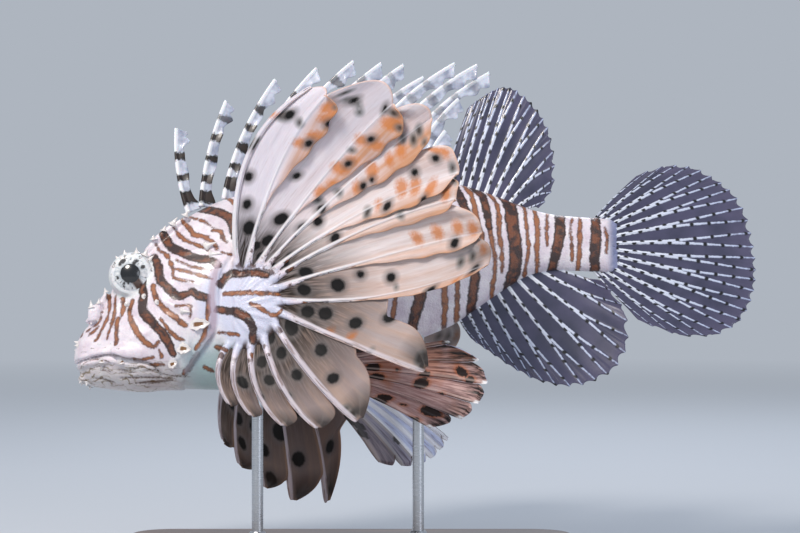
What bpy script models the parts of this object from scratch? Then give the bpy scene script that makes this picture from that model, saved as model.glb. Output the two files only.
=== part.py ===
"""Red lionfish (Pterois volitans), life size and swimming, held on a plain display stand.

Every fish shape is modelled upright in the fish's own frame, in millimetres: +X runs to the tail,
-Y is the fish's left side and +Z is up. One empty then rolls the fish, belly towards -Y, and lifts
it over the stand, whose underside is at the origin.
"""

import math

import bmesh
import bpy
import numpy as np
from mathutils import Matrix, Vector

MM = 0.001
GAP = 0.3
CUT_CLEARANCE = 0.36

# Driving sizes of the fish, in millimetres. Places along the body are counted from the stand's centre.
SNOUT_X = -143.0
SNOUT_ROUND = 6.0
GILL_X = -78.0
STEM_X = 32.0
STEM_END_X = 90.0
BANK_DEG = 12.0
FISH_HEIGHT = 129.0

# Side outline of the body: (place along X, height).
BACK_LINE = (
    (-143, -31), (-137, -27.5), (-130, -20), (-126, -10), (-122, -4), (-117, 2), (-112, 8), (-105, 16),
    (-92, 27), (-76, 33.5), (-60, 38.5), (-42, 42.5), (-22, 43.5), (-2, 42.3), (18, 39), (33, 35),
    (46, 30.3), (57, 26), (68, 23.3), (80, 22.2), (90, 21.5),
)
BELLY_LINE = (
    (-143, -52), (-130, -54), (-112, -55.5), (-95, -55), (-78, -54.2), (-60, -54.6), (-44, -52.8),
    (-26, -48.3), (-9, -40.7), (9, -32.2), (25, -25), (35, -18), (45, -11), (57, -4), (67, -1.9),
    (78, -2), (90, -2.6),
)
# Half the body's width, and the height of its widest level as a share of the way from belly to back.
HALF_WIDTH = (
    (-143, 8), (-137, 9.8), (-130, 12.8), (-124, 15.3), (-117, 17.8), (-108, 20.3), (-98, 22.3),
    (-86, 23.2), (-76, 22.6), (-60, 22.4), (-42, 21.6), (-24, 19.8), (-6, 17.6), (12, 15), (30, 12.2),
    (45, 9.8), (58, 8), (70, 6.9), (82, 6.1), (90, 5.6),
)
WAIST = ((-143, 0.45), (-117, 0.36), (-98, 0.4), (-78, 0.46), (-40, 0.52), (20, 0.5), (90, 0.5))
# How pinched the section is above and below the waist: 1 is an ellipse, more is a ridge.
PINCH_ABOVE = (
    (-143, 0.9), (-132, 1.1), (-120, 1.6), (-108, 1.45), (-92, 1.2), (-70, 1.08), (0, 1.02), (90, 1.0),
)
PINCH_BELOW = ((-143, 0.85), (-110, 0.8), (-80, 0.82), (-40, 0.95), (20, 1.0), (90, 1.0))

AROUND = 36
HEAD_RINGS = (
    -134.2, -131.4, -128.8, -126.4, -124, -121, -118, -115, -112, -108.5, -105, -101.5, -98, -94.5, -91,
    -87.5, -84, -80.8,
)
TRUNK_RINGS = (-72, -65, -58, -50, -41, -32, -23, -13, -3, 7, 16, 24.5)
STEM_RINGS = (38, 44, 50, 56, 63, 70, 77, 83.5)
SNOUT_ANGLES = (24, 46, 68, 90)
GILL_FLARE = 1.5
GILL_FLARE_LENGTH = 16.0
GILL_FLARE_BELOW = 0.35
GILL_STEP = 1.0
STEM_END_ROUND = 2.2
STEM_END_SHRINK = 0.7

# The eye looks outwards and very slightly down.
EYE_CENTRE = (-116.5, -11.3, -6.3)
EYE_RADIUS = 9.0
EYE_GAZE = (0.03, -0.99, -0.09)
EYE_MOUND_RADIUS = 10.3
EYE_MOUND_SINK = 2.2
PUPIL_RADIUS = 4.2
CORNEA_RISE = 0.45

# The mouth line from in front of the lips to the jaw joint, then down under the throat.
MOUTH_LINE = (
    (-150, -44.6), (-142, -44.3), (-138, -43.9), (-132, -42.9), (-125, -42.4), (-118, -44.6), (-111, -45.6),
    (-106, -47.2), (-103, -51), (-101.5, -62),
)
MOUTH_SLIT = 0.45
MOUTH_CUT_REACH = 60.0
LIP_RADIUS = 1.35
# Each lip: its height from the mouth line, and how far its middle is drawn back from the snout.
LIPS = ((1.25, 1.6), (-1.2, 2.6))
LIP_SINK = 0.35
LIP_PLACES = (-108, -113, -118, -124, -130, -135, -138.6, -141.0)

# Small forms of the head, on the left side: the hind plate of the upper jaw, the nostril's tube, and the
# bony ridge across the cheek.
JAW_PLATE_CENTRE = (-114.5, -16.4, -41.2)
JAW_PLATE_RADII = (9.6, 2.9, 3.6)
NOSTRIL_PATH = ((-133.4, -7.2, -24), (-133.9, -8.2, -20.6), (-134.4, -8.7, -18.4))
NOSTRIL_RADII = (1.9, 1.4, 0.9)
NOSTRIL_PIT_CENTRE = (-134.3, -8.9, -18.4)
NOSTRIL_PIT_RADII = (0.7, 0.7, 1.4)
CHEEK_RIDGE_PATH = ((-109, -16.4, -15), (-103, -19.4, -18.5), (-98, -21, -21.5), (-92, -22.4, -23.5))
CHEEK_RIDGE_RADII = (1.2, 2.0, 1.9, 1.0)
# Spines of the head: over the orbit (tilt), on the crest (place, height, distance out), and on the gill
# cover (place, height). Flaps of skin on the cheek: place, height, half length.
ORBIT_SPINE_TILTS_DEG = (-52, -22, 8, 38)
ORBIT_SPINE = (3.4, 0.95)
NOSTRIL_SPINE_ROOT = (-134.2, -8.2, -18.6)
NOSTRIL_SPINE = (3.6, 0.8)
CREST_SPINES = ((-107.5, 12.2, 5.0), (-101, 17.6, 6.0), (-92, 22.6, 6.4))
CREST_SPINE = (4.6, 1.1)
GILL_SPINES = ((-84.5, 3), (-85.5, -4.5))
GILL_SPINE = (5.2, 1.2)
GILL_SPINE_SINK = 0.6
CHEEK_FLAPS = ((-87, -30.4, 4.2), (-93, -40.7, 3.1), (-98, -47, 1.9))
CHEEK_FLAP_THICKNESS = 1.6
CHEEK_FLAP_STAND_OFF = 0.9

# The fleshy base of each pectoral fin, a pad on the flank behind the gill cover.
PAD_CENTRE = (-67.0, -20.5, -23.5)
PAD_RADII = (18.5, 5.6, 19.0)
PAD_YAW_DEG = 15.0

# Stand.
BASE_SIZE = (200.0, 112.0, 8.0)
BASE_CENTRE_X = -22.0
BASE_CENTRE_Y = -6.0
BASE_CORNER = 18.0
BASE_EDGE = 1.6
ROD_DIAMETER = 5.0
ROD_SIDES = 14
ROD_TOP = -20.0
ROD_PLACES = ((-62.0, -11.0), (8.0, -7.5))

SKIN_WHITE = (0.80, 0.70, 0.66)
SKIN_BROWN = (0.36, 0.15, 0.08)
FIN_PALE = (0.72, 0.58, 0.52)
FIN_DARK = (0.30, 0.27, 0.38)
EYE_DARK = (0.03, 0.03, 0.05)
BASE_WALNUT = (0.16, 0.085, 0.05)
ROD_STEEL = (0.62, 0.62, 0.64)


def clear_scene():
    for obj in list(bpy.data.objects):
        bpy.data.objects.remove(obj, do_unlink=True)


def spline(keys, places):
    """Smooth curve through (place, value) keys, read at the places."""
    key_x, key_y = (np.array(column, float) for column in zip(*keys))
    places = np.clip(np.asarray(places, float), key_x[0], key_x[-1])
    slope = np.gradient(key_y, key_x)
    left = np.clip(np.searchsorted(key_x, places) - 1, 0, len(key_x) - 2)
    span = key_x[left + 1] - key_x[left]
    t = (places - key_x[left]) / span
    rise = 3 * t**2 - 2 * t**3
    return (
        key_y[left] * (1 - rise)
        + key_y[left + 1] * rise
        + span * slope[left] * (t**3 - 2 * t**2 + t)
        + span * slope[left + 1] * (t**3 - t**2)
    )


def step(value, start, end):
    """0 before start, 1 after end, smooth between them."""
    t = np.clip((value - start) / (end - start), 0, 1)
    return t * t * (3 - 2 * t)


def unit(vector):
    return np.asarray(vector, float) / np.linalg.norm(vector)


def material(name, colour, roughness, metallic=0.0):
    made = bpy.data.materials.new(name)
    made.use_nodes = True
    shader = made.node_tree.nodes["Principled BSDF"]
    shader.inputs["Base Color"].default_value = (*colour, 1)
    shader.inputs["Roughness"].default_value = roughness
    shader.inputs["Metallic"].default_value = metallic
    return made


def mesh_object(name, points, faces, finish=None, smooth_angle=40):
    """A linked object whose mesh is given in millimetres."""
    mesh = bpy.data.meshes.new(name)
    mesh.from_pydata((np.asarray(points, float) * MM).tolist(), [], [list(face) for face in faces])
    mesh.validate()
    obj = bpy.data.objects.new(name, mesh)
    bpy.context.scene.collection.objects.link(obj)
    if finish is not None:
        mesh.materials.append(finish)
        mesh.shade_smooth()
        mesh.set_sharp_from_angle(angle=math.radians(smooth_angle))
    return obj


def mirrored(points, faces):
    """The same piece on the fish's other side."""
    flipped = np.asarray(points, float) * (1, -1, 1)
    return flipped, [face[::-1] for face in faces]


def combine(obj, operation, others, solver="EXACT"):
    """Joins the other closed meshes to obj, or cuts them from it, and removes them."""
    group = bpy.data.collections.new("operands")
    for other in others:
        group.objects.link(other)
    modifier = obj.modifiers.new(operation.lower(), "BOOLEAN")
    modifier.operation = operation
    modifier.solver = solver
    modifier.operand_type = "COLLECTION"
    modifier.collection = group
    bpy.context.view_layer.update()
    graph = bpy.context.evaluated_depsgraph_get()
    result = bpy.data.meshes.new_from_object(obj.evaluated_get(graph))
    obj.modifiers.clear()
    result.name = obj.name
    obj.data = result
    for other in others:
        bpy.data.objects.remove(other, do_unlink=True)
    bpy.data.collections.remove(group)


def closed_surfaces(mesh):
    """(volume, bmesh) of each closed surface of the mesh, largest first."""
    whole = bmesh.new()
    whole.from_mesh(mesh)
    unseen = set(whole.verts)
    pieces = []
    while unseen:
        wave = [unseen.pop()]
        island = set(wave)
        while wave:
            vertex = wave.pop()
            for edge in vertex.link_edges:
                other = edge.other_vert(vertex)
                if other in unseen:
                    unseen.remove(other)
                    island.add(other)
                    wave.append(other)
        piece = whole.copy()
        piece.verts.ensure_lookup_table()
        kept = {vertex.index for vertex in island}
        drop = [vertex for vertex in piece.verts if vertex.index not in kept]
        bmesh.ops.delete(piece, geom=drop, context="VERTS")
        pieces.append((abs(piece.calc_volume()), piece))
    whole.free()
    return sorted(pieces, key=lambda pair: -pair[0])


def keep_largest(obj):
    pieces = closed_surfaces(obj.data)
    pieces[0][1].to_mesh(obj.data)
    for _, piece in pieces:
        piece.free()


def body_section(place, angles, flare=0.0):
    """Points round the body at one place, without the gill cover's lean."""
    top, bottom, half = (float(spline(line, place)) for line in (BACK_LINE, BELLY_LINE, HALF_WIDTH))
    waist = bottom + (top - bottom) * float(spline(WAIST, place))
    middle = (top + bottom) / 2
    into_snout = np.clip((SNOUT_X + SNOUT_ROUND - place) / SNOUT_ROUND, 0, 1)
    shrink = math.sqrt(max(1 - into_snout**2, 0.0))
    up = np.cos(angles)
    out = np.sin(angles)
    pinch = np.where(up > 0, spline(PINCH_ABOVE, place), spline(PINCH_BELOW, place))
    height = np.where(up > 0, waist + (top - waist) * up, waist + (waist - bottom) * up)
    width = half * np.sign(out) * np.abs(out) ** pinch
    open_side = step(-height, -8, 4)
    width = width + np.sign(out) * flare * open_side * np.abs(out)
    height = height - flare * GILL_FLARE_BELOW * open_side * np.maximum(-up, 0)
    height = middle + (height - middle) * shrink
    return width * shrink, height


def gill_lean(place, height):
    """How far a ring bows along X so that the rings follow the gill cover's edge."""
    near = step(place, -118, -80) * (1 - step(place, -74, -30))
    return near * (9 * step(height, -12, 12) - 17 * step(-height, 28, 58))


def ring(place, flare=0.0, shift=0.0):
    angles = np.arange(AROUND) * 2 * math.pi / AROUND
    width, height = body_section(place, angles, flare)
    along = place + gill_lean(place, height) + shift * (0.35 + 0.65 * step(-height, -8, 12))
    return np.stack([along, width, height], axis=1)


def lofted(rings, front_tip=None, back_tip=None):
    """Closed mesh through rings of points, each end closed to a tip point."""
    rings = [np.asarray(one, float) for one in rings]
    count = len(rings[0])
    front = rings[0].mean(axis=0) if front_tip is None else np.asarray(front_tip, float)
    back = rings[-1].mean(axis=0) if back_tip is None else np.asarray(back_tip, float)
    points = np.vstack([*rings, front[None], back[None]])
    front_index, back_index = len(points) - 2, len(points) - 1
    faces = []
    for row in range(len(rings) - 1):
        for k in range(count):
            here, there = row * count + k, row * count + (k + 1) % count
            faces.append((here, here + count, there + count, there))
    last = (len(rings) - 1) * count
    for k in range(count):
        following = (k + 1) % count
        faces.append((front_index, k, following))
        faces.append((back_index, last + following, last + k))
    return points, faces


def head_rings():
    """Rings from the snout to the gill cover's edge."""
    snout = [SNOUT_X + SNOUT_ROUND * (1 - math.cos(math.radians(a))) for a in SNOUT_ANGLES]
    flared = [GILL_FLARE * float(step(place, GILL_X - GILL_FLARE_LENGTH, GILL_X)) for place in HEAD_RINGS]
    rings = [ring(place) for place in snout]
    rings += [ring(place, flare) for place, flare in zip(HEAD_RINGS, flared)]
    rings.append(ring(GILL_X, GILL_FLARE))
    return rings


def stem_end_rings():
    """The last two rings of the tail stem, which round off its end."""
    last = ring(STEM_END_X)
    centre = last.mean(axis=0)
    end = centre + (last - centre) * STEM_END_SHRINK
    end[:, 0] += STEM_END_ROUND
    return [last, end]


def snout_tip(rings):
    return SNOUT_X, 0, rings[0][:, 2].mean()


def head_shape():
    rings = head_rings()
    return lofted(rings, front_tip=snout_tip(rings))


def trunk_shape():
    rings = [ring(GILL_X, shift=GILL_STEP)]
    rings += [ring(place) for place in TRUNK_RINGS]
    rings.append(ring(STEM_X))
    return lofted(rings)


def stem_shape():
    rings = [ring(STEM_X + GAP)]
    rings += [ring(place) for place in STEM_RINGS]
    rings += stem_end_rings()
    return lofted(rings)


def whole_body_shape():
    """The body in one piece, with no gill step: what the fins and rods are cut against."""
    rings = head_rings()
    rings += [ring(place) for place in (*TRUNK_RINGS, STEM_X, *STEM_RINGS)]
    rings += stem_end_rings()
    return lofted(rings, front_tip=snout_tip(rings))


def grown(points, faces, by):
    """The mesh with each corner moved out along its normal."""
    points = np.asarray(points, float)
    normals = np.zeros_like(points)
    for face in faces:
        a, b, c = points[face[0]], points[face[1]], points[face[-1]]
        normals[list(face)] += np.cross(b - a, c - a)
    normals /= np.maximum(np.linalg.norm(normals, axis=1), 1e-9)[:, None]
    return points + normals * by, faces


def ball(centre, radii, segments=16, rows=8, axis=(0, 0, 1), bulge=None):
    """A sphere or ellipsoid whose poles lie on the axis. bulge adds to the radius by the angle from it."""
    pole = unit(axis)
    side = unit(np.cross(pole, (1, 0, 0.3)))
    other = np.cross(pole, side)
    polar = np.linspace(0, math.pi, rows + 1)[1:-1]
    turn = np.arange(segments) * 2 * math.pi / segments
    rings = []
    for angle in polar:
        reach = 1.0 if bulge is None else 1.0 + bulge(angle)
        spoke = np.cos(turn)[:, None] * side + np.sin(turn)[:, None] * other
        rings.append((spoke * math.sin(angle) + pole * math.cos(angle)) * reach)
    first = 1.0 if bulge is None else 1.0 + bulge(0.0)
    points, faces = lofted(rings, front_tip=pole * first, back_tip=-pole)
    scale = np.asarray(radii, float)
    points = points * scale + np.asarray(centre, float)
    return outward(points, faces)


def outward(points, faces):
    """The faces turned round if the closed mesh is inside out."""
    points = np.asarray(points, float)
    volume = 0.0
    for face in faces:
        for k in range(1, len(face) - 1):
            volume += np.dot(points[face[0]], np.cross(points[face[k]], points[face[k + 1]]))
    return points, faces if volume > 0 else [face[::-1] for face in faces]


def tube(path, radii, sides=6):
    """A closed tube along a path, with a radius at each of its points."""
    path = np.asarray(path, float)
    tangents = np.gradient(path, axis=0)
    rings = []
    for point, tangent, radius in zip(path, tangents, radii):
        side = unit(np.cross(tangent, (0.13, 0.09, 1.0)))
        other = unit(np.cross(tangent, side))
        turn = np.arange(sides) * 2 * math.pi / sides
        rings.append(point + radius * (np.cos(turn)[:, None] * side + np.sin(turn)[:, None] * other))
    return outward(*lofted(rings))


def thorn(root, direction, length, radius, sides=5):
    """A short tapered spine."""
    direction = unit(direction)
    root = np.asarray(root, float)
    steps = np.array([0, 0.55, 0.95])
    path = root + direction * (steps * length)[:, None]
    return tube(path, radius * np.array([1, 0.62, 0.16]), sides)


def half_width_at(place, height):
    """The body's half width at one place and height of the side view."""
    angles = np.linspace(0.01, math.pi - 0.01, 160)
    width, level = body_section(place, angles)
    return float(np.interp(-height, -level, width))


def wall_along(line, thickness, reach):
    """A thin upright wall across the fish that follows a side-view line."""
    line = np.asarray(line, float)
    tangents = np.gradient(line, axis=0)
    normals = np.stack([-tangents[:, 1], tangents[:, 0]], axis=1)
    normals /= np.linalg.norm(normals, axis=1)[:, None]
    upper, lower = line + normals * thickness / 2, line - normals * thickness / 2
    outline = np.vstack([upper, lower[::-1]])
    count = len(outline)
    points = [(x, y, z) for y in (-reach, reach) for x, z in outline]
    faces = [tuple(range(count)), tuple(range(2 * count - 1, count - 1, -1))]
    faces += [(k, k + count, (k + 1) % count + count, (k + 1) % count) for k in range(count)]
    return outward(points, faces)


def lip_path(offset, inset):
    """Round the snout at the mouth line, from the left jaw joint to the right one."""
    side = []
    for place in LIP_PLACES:
        height = float(spline(MOUTH_LINE, place)) + offset
        back = inset * float(step(-place, -LIP_PLACES[-3], -LIP_PLACES[-1]))
        side.append((place + back, -half_width_at(place, height) + LIP_SINK, height))
    front = (SNOUT_X + inset, 0, float(spline(MOUTH_LINE, SNOUT_X)) + offset)
    return np.array([*side, front, *[(x, -y, z) for x, y, z in side[::-1]]])


def orbit_forms():
    """The mound that holds the left eye, and the small spines over it."""
    gaze = unit(EYE_GAZE)
    centre = np.array(EYE_CENTRE) - gaze * EYE_MOUND_SINK
    forms = [ball(centre, [EYE_MOUND_RADIUS] * 3, 18, 10, gaze)]
    for tilt_deg in ORBIT_SPINE_TILTS_DEG:
        tilt = math.radians(tilt_deg)
        spoke = unit((math.sin(tilt), -0.35, math.cos(tilt)))
        forms.append(thorn(centre + spoke * (EYE_MOUND_RADIUS - 0.9), spoke, *ORBIT_SPINE))
    return forms


def cheek_forms():
    """The left side's jaw plate, nostril tube, cheek ridge, flaps of skin and spines."""
    forms = [
        ball(JAW_PLATE_CENTRE, JAW_PLATE_RADII, 12, 6, (1, 0, 0)),
        tube(NOSTRIL_PATH, NOSTRIL_RADII),
        thorn(NOSTRIL_SPINE_ROOT, (-0.2, -0.2, 1), *NOSTRIL_SPINE),
        tube(CHEEK_RIDGE_PATH, CHEEK_RIDGE_RADII),
    ]
    for place, height, size in CHEEK_FLAPS:
        out = half_width_at(place, height) + CHEEK_FLAP_STAND_OFF
        radii = (size, CHEEK_FLAP_THICKNESS, size * 0.55)
        forms.append(ball((place, -out, height), radii, 8, 4, (1, -0.2, 0.15)))
    for place, height, out in CREST_SPINES:
        forms.append(thorn((place, -out, height), (0.5, -0.45, 1), *CREST_SPINE))
    for place, height in GILL_SPINES:
        out = half_width_at(place, height) - GILL_SPINE_SINK
        forms.append(thorn((place, -out, height), (1, -0.55, 0.1), *GILL_SPINE))
    return forms


def head_features():
    """The raised forms of the head as closed pieces, on both sides, and the two lips."""
    pieces = [piece for one in orbit_forms() + cheek_forms() for piece in (one, mirrored(*one))]
    for offset, inset in LIPS:
        path = lip_path(offset, inset)
        across = np.linspace(-1, 1, len(path))
        pieces.append(tube(path, LIP_RADIUS * (1 - 0.45 * np.abs(across) ** 3)))
    return pieces


def head_cutters():
    """Both eye sockets, both nostrils and the slit of the mouth."""
    socket = ball(EYE_CENTRE, [EYE_RADIUS + GAP] * 3, 18, 10, unit(EYE_GAZE), cornea)
    pit = ball(NOSTRIL_PIT_CENTRE, NOSTRIL_PIT_RADII, 8, 6)
    mouth = wall_along(MOUTH_LINE, MOUTH_SLIT, MOUTH_CUT_REACH)
    return [socket, mirrored(*socket), mouth, pit, mirrored(*pit)]


def build_head(finish, jaw_finish):
    """Head and lower jaw, parted by the slit of the mouth."""
    head = mesh_object("head", *head_shape())
    combine(head, "UNION", [mesh_object("feature", *piece) for piece in head_features()], "MANIFOLD")
    combine(head, "DIFFERENCE", [mesh_object("cutter", *piece) for piece in head_cutters()], "MANIFOLD")
    pieces = closed_surfaces(head.data)
    jaw_mesh = bpy.data.meshes.new("lower_jaw")
    pieces[0][1].to_mesh(head.data)
    pieces[1][1].to_mesh(jaw_mesh)
    for _, piece in pieces:
        piece.free()
    jaw = bpy.data.objects.new("lower_jaw", jaw_mesh)
    bpy.context.scene.collection.objects.link(jaw)
    return dress(head, finish), dress(jaw, jaw_finish)


def dress(obj, finish, angle=40):
    """The object's one material, shaded smooth but for its sharp edges."""
    obj.data.materials.clear()
    obj.data.materials.append(finish)
    obj.data.shade_smooth()
    obj.data.set_sharp_from_angle(angle=math.radians(angle))
    return obj


def cornea(angle):
    """The clear dome over the pupil, as a share of the eye's radius."""
    edge = math.asin(PUPIL_RADIUS / EYE_RADIUS)
    return CORNEA_RISE / EYE_RADIUS * float(1 - step(angle, edge, edge * 1.5))


def build_eyes(finish):
    points, faces = ball(EYE_CENTRE, [EYE_RADIUS] * 3, 18, 10, unit(EYE_GAZE), cornea)
    return [
        mesh_object("eye_left", points, faces, finish),
        mesh_object("eye_right", *mirrored(points, faces), finish),
    ]


def pad_shape(grow=0.0):
    """The fleshy base of the left pectoral fin."""
    radii = np.array(PAD_RADII) + grow
    points, faces = ball((0, 0, 0), radii, 18, 10)
    yaw = math.radians(PAD_YAW_DEG)
    turn = np.array([[math.cos(yaw), math.sin(yaw), 0], [-math.sin(yaw), math.cos(yaw), 0], [0, 0, 1]])
    return points @ turn.T + np.array(PAD_CENTRE), faces


def build_trunk(finish):
    trunk = mesh_object("trunk", *trunk_shape())
    pads = [mesh_object("pad", *pad_shape()), mesh_object("pad", *mirrored(*pad_shape()))]
    combine(trunk, "UNION", pads, "MANIFOLD")
    # The gill cover lies over the front of the pads.
    cover = mesh_object("cover", *grown(*head_shape(), CUT_CLEARANCE))
    combine(trunk, "DIFFERENCE", [cover], "MANIFOLD")
    keep_largest(trunk)
    return dress(trunk, finish)


def body_cutters():
    """The body and both pads, grown by the gap, for cutting what stands on them."""
    pad = pad_shape(CUT_CLEARANCE)
    return [
        mesh_object("cutter", *grown(*whole_body_shape(), CUT_CLEARANCE)),
        mesh_object("cutter", *pad),
        mesh_object("cutter", *mirrored(*pad)),
    ]


def ray_points(root, tip, start_direction, rows, bow=0.5):
    """A fin ray as a smooth curve that leaves its root along start_direction."""
    root, tip = np.asarray(root, float), np.asarray(tip, float)
    length = np.linalg.norm(tip - root)
    control = root + unit(start_direction) * length * bow
    t = np.linspace(0, 1, rows)[:, None]
    return root * (1 - t) ** 2 + control * 2 * t * (1 - t) + tip * t**2


def fan(rays, free_from, widths, thickness, ridge, tip_bulge, lift=0.0, fore=False):
    """A fin as one closed sheet, with a ridge for each ray.

    rays is an array (ray, row, point). The web of ray i reaches towards ray i - 1. Past row
    free_from[i] it is a free lobe as wide as widths[i] allows, its far edge raised by lift. The tip of
    each web is rounded out by tip_bulge of its width. fore adds the front half of each ridge.
    """
    rays = np.asarray(rays, float)
    count, rows, _ = rays.shape
    half_ray = np.linspace(thickness[0], thickness[1], rows) / 2
    half_web = thickness[2] / 2
    points, halves, faces = [], [], []

    def add(point, half):
        points.append(point)
        halves.append(half)
        return len(points) - 1

    crest = np.array([[add(rays[i, j], half_ray[j]) for j in range(rows)] for i in range(count)])
    for i in range(1, count):
        columns = np.zeros((4, rows), int)
        columns[0] = crest[i]
        for j in range(rows):
            free = j > free_from[i]
            web = web_row(rays, i, j, free_from[i], widths[i], ridge, tip_bulge, lift)
            for column in (1, 2, 3):
                columns[column, j] = add(web[column - 1], half_web) if free or column < 3 else crest[i - 1, j]
        for column in range(3):
            faces += strip(columns[column], columns[column + 1])
    if fore:
        for i in range(count):
            start = free_from[i + 1] if i + 1 < count else 0
            if start < rows - 1:
                front = rays[i] - rays[i - 1] if i else rays[0] - rays[1]
                front /= np.linalg.norm(front, axis=1)[:, None]
                taper = ridge * (1 - 0.55 * np.arange(rows) / (rows - 1))
                edge = [crest[i, start] if i + 1 < count else add(rays[i, 0] + front[0] * taper[0], half_web)]
                edge += [add(rays[i, j] + front[j] * taper[j], half_web) for j in range(start + 1, rows)]
                faces += strip(edge, crest[i, start:])
    return thickened(np.array(points), np.array(halves), faces)


def web_row(rays, i, j, free_from, width_limit, ridge, tip_bulge, lift):
    """Foot of the ridge, middle and far edge of ray i's web at row j."""
    rows = rays.shape[1]
    across = rays[i - 1, j] - rays[i, j]
    width = np.linalg.norm(across)
    across = across / width
    ahead = rays[i, min(j + 1, rows - 1)] - rays[i, max(j - 1, 0)]
    row_length = np.linalg.norm(ahead) / (2 if 0 < j < rows - 1 else 1)
    ahead = ahead / np.linalg.norm(ahead)
    t = 0.0
    if j > free_from:
        t = (j - free_from) / (rows - 1 - free_from)
        width = max(min(width - 0.55 - 0.9 * t, width_limit), 1.2)
    foot = min(ridge, 0.3 * width)
    raised = unit(np.cross(ahead, across)) * lift * float(step(t, 0, 0.5))
    places = []
    for share in (foot / width, 0.5 + foot / width / 2, 1.0):
        place = rays[i, j] + across * width * share + raised * share**1.5
        if j == rows - 1:
            place = place + ahead * tip_bulge * width * math.sin(math.pi * share)
            if share == 1.0 and t > 0:
                place = place - ahead * min(0.3 * width, 0.7 * row_length)
        places.append(place)
    return places


def strip(left, right):
    """Triangles between two columns of points."""
    faces = []
    for a, b, c, d in zip(left[:-1], left[1:], right[1:], right[:-1]):
        faces += [(a, b, c)] if a == d else [(a, b, c), (a, c, d)]
    return faces


def thickened(points, halves, faces):
    """A sheet given its thickness: two alike faces, joined round its edge."""
    faces = np.array(faces)
    corners = points[faces]
    crossed = np.cross(corners[:, 1] - corners[:, 0], corners[:, 2] - corners[:, 0])
    normals = np.zeros_like(points)
    for k in range(3):
        np.add.at(normals, faces[:, k], crossed)
    normals /= np.maximum(np.linalg.norm(normals, axis=1), 1e-9)[:, None]
    count = len(points)
    both = np.vstack([points + normals * halves[:, None], points - normals * halves[:, None]])
    solid = [tuple(face) for face in faces] + [tuple(face[::-1] + count) for face in faces]
    edges = {}
    for a, b, c in faces:
        for start, end in ((a, b), (b, c), (c, a)):
            edges[(start, end)] = True
    for start, end in edges:
        if (end, start) not in edges:
            solid += [(end, start, start + count), (end, start + count, end + count)]
    return outward(both, solid)


def direction_in(side_angle_deg, outward_share=0.0):
    """A direction in the side view, with a share that leans out to the fish's left."""
    angle = math.radians(side_angle_deg)
    return np.array([math.cos(angle), -outward_share, math.sin(angle)])


# Left pectoral fin, a row for each ray from the top: angle of its root round the pad, angle at which it
# leaves, place along X and height of its tip, and how far the tip stands out from the pad.
PECTORAL_RAYS = (
    (99, 99, -37, 63.5, 38), (86, 78, -31, 58, 44), (76, 55, -3, 53, 50), (66, 46, 13, 46, 54),
    (56, 36, 24, 22, 57), (45, 30, 22.5, 10.5, 58), (31, 14, 33, -3, 58), (11, -8, 36, -16, 57),
    (-6, -28, 9.5, -58.5, 46), (-25, -60, -18, -77.5, 36), (-52, -79, -34.5, -79, 28),
    (-75, -96, -49, -77, 22), (-96, -112, -62.5, -72, 17), (-112, -128, -72, -66.5, 13),
)
# The right fin is held lower: (ray, shift of its tip along X, shift in height).
RIGHT_SHIFT = ((0, 0, 0), (5, 0, 0), (7, -10, -6), (8, -12, -13), (9, -16, -20), (10, -15, -18), (13, -8, -5))
PECTORAL_ROOT_RADIUS = 15.0
PECTORAL_ROWS = 10
# How far along each ray its curve is pulled before it bends to the tip.
PECTORAL_BOWS = (0.66, 0.6, 0.54, 0.52, 0.5, 0.5, 0.5, 0.5, 0.5, 0.5, 0.5, 0.5, 0.5, 0.5)
# Row from which each lobe is free, and its greatest width there.
LEFT_FREE_FROM = (9, 9, 9, 8, 7, 8, 8, 8, 5, 5, 5, 5, 5, 5)
LEFT_LOBE_WIDTHS = (30, 30, 30, 26, 16, 15, 17, 17, 16, 16, 15, 12.5, 10.5, 9)
RIGHT_FREE_FROM = (9, 9, 9, 8, 7, 8, 8, 8, 6, 7, 8, 8, 8, 8)
RIGHT_LOBE_WIDTHS = (30, 30, 30, 26, 16, 15, 17, 17, 14, 13, 17, 16, 14, 12)
PECTORAL_ROOT_SINK = 1.5
PECTORAL_TIP_SINK = 4.0
# Thickness of a ray at its root and tip and of the web, width of a ridge's foot, bulge of a web's end.
PAIRED_FIN_THICKNESS = (1.7, 0.9, 0.6)
RIDGE_FOOT = 0.9
PECTORAL_TIP_BULGE = 0.24
PECTORAL_LIFT = 1.5


def pectoral_ray(row, shift_x, shift_z, bow):
    """One ray of the fin on the fish's left side, its tip moved by the shifts."""
    round_pad, first, tip_x, tip_z, out = row
    yaw, around = math.radians(PAD_YAW_DEG), math.radians(round_pad)
    along = PECTORAL_ROOT_RADIUS * math.cos(around)
    up = PECTORAL_ROOT_RADIUS * math.sin(around)
    root = np.array(PAD_CENTRE) + (along * math.cos(yaw), -along * math.sin(yaw) - PECTORAL_ROOT_SINK, up)
    tip = np.array([tip_x + shift_x, PAD_CENTRE[1] - PECTORAL_TIP_SINK - out, tip_z + shift_z])
    leaves_at = direction_in(first, 0.75 * out / np.linalg.norm(tip - root))
    return ray_points(root, tip, leaves_at, PECTORAL_ROWS, bow)


def pectoral_fin(shifts, free_from, widths):
    """One pectoral fin on the fish's left side."""
    rays = [pectoral_ray(row, *shift, bow) for row, shift, bow in zip(PECTORAL_RAYS, shifts, PECTORAL_BOWS)]
    return fan(rays, free_from, widths, PAIRED_FIN_THICKNESS, RIDGE_FOOT, PECTORAL_TIP_BULGE, PECTORAL_LIFT)


def build_paired_fin(name, shape, finish):
    fin = mesh_object(name, *shape)
    combine(fin, "DIFFERENCE", body_cutters(), "MANIFOLD")
    keep_largest(fin)
    return dress(fin, finish)


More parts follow.
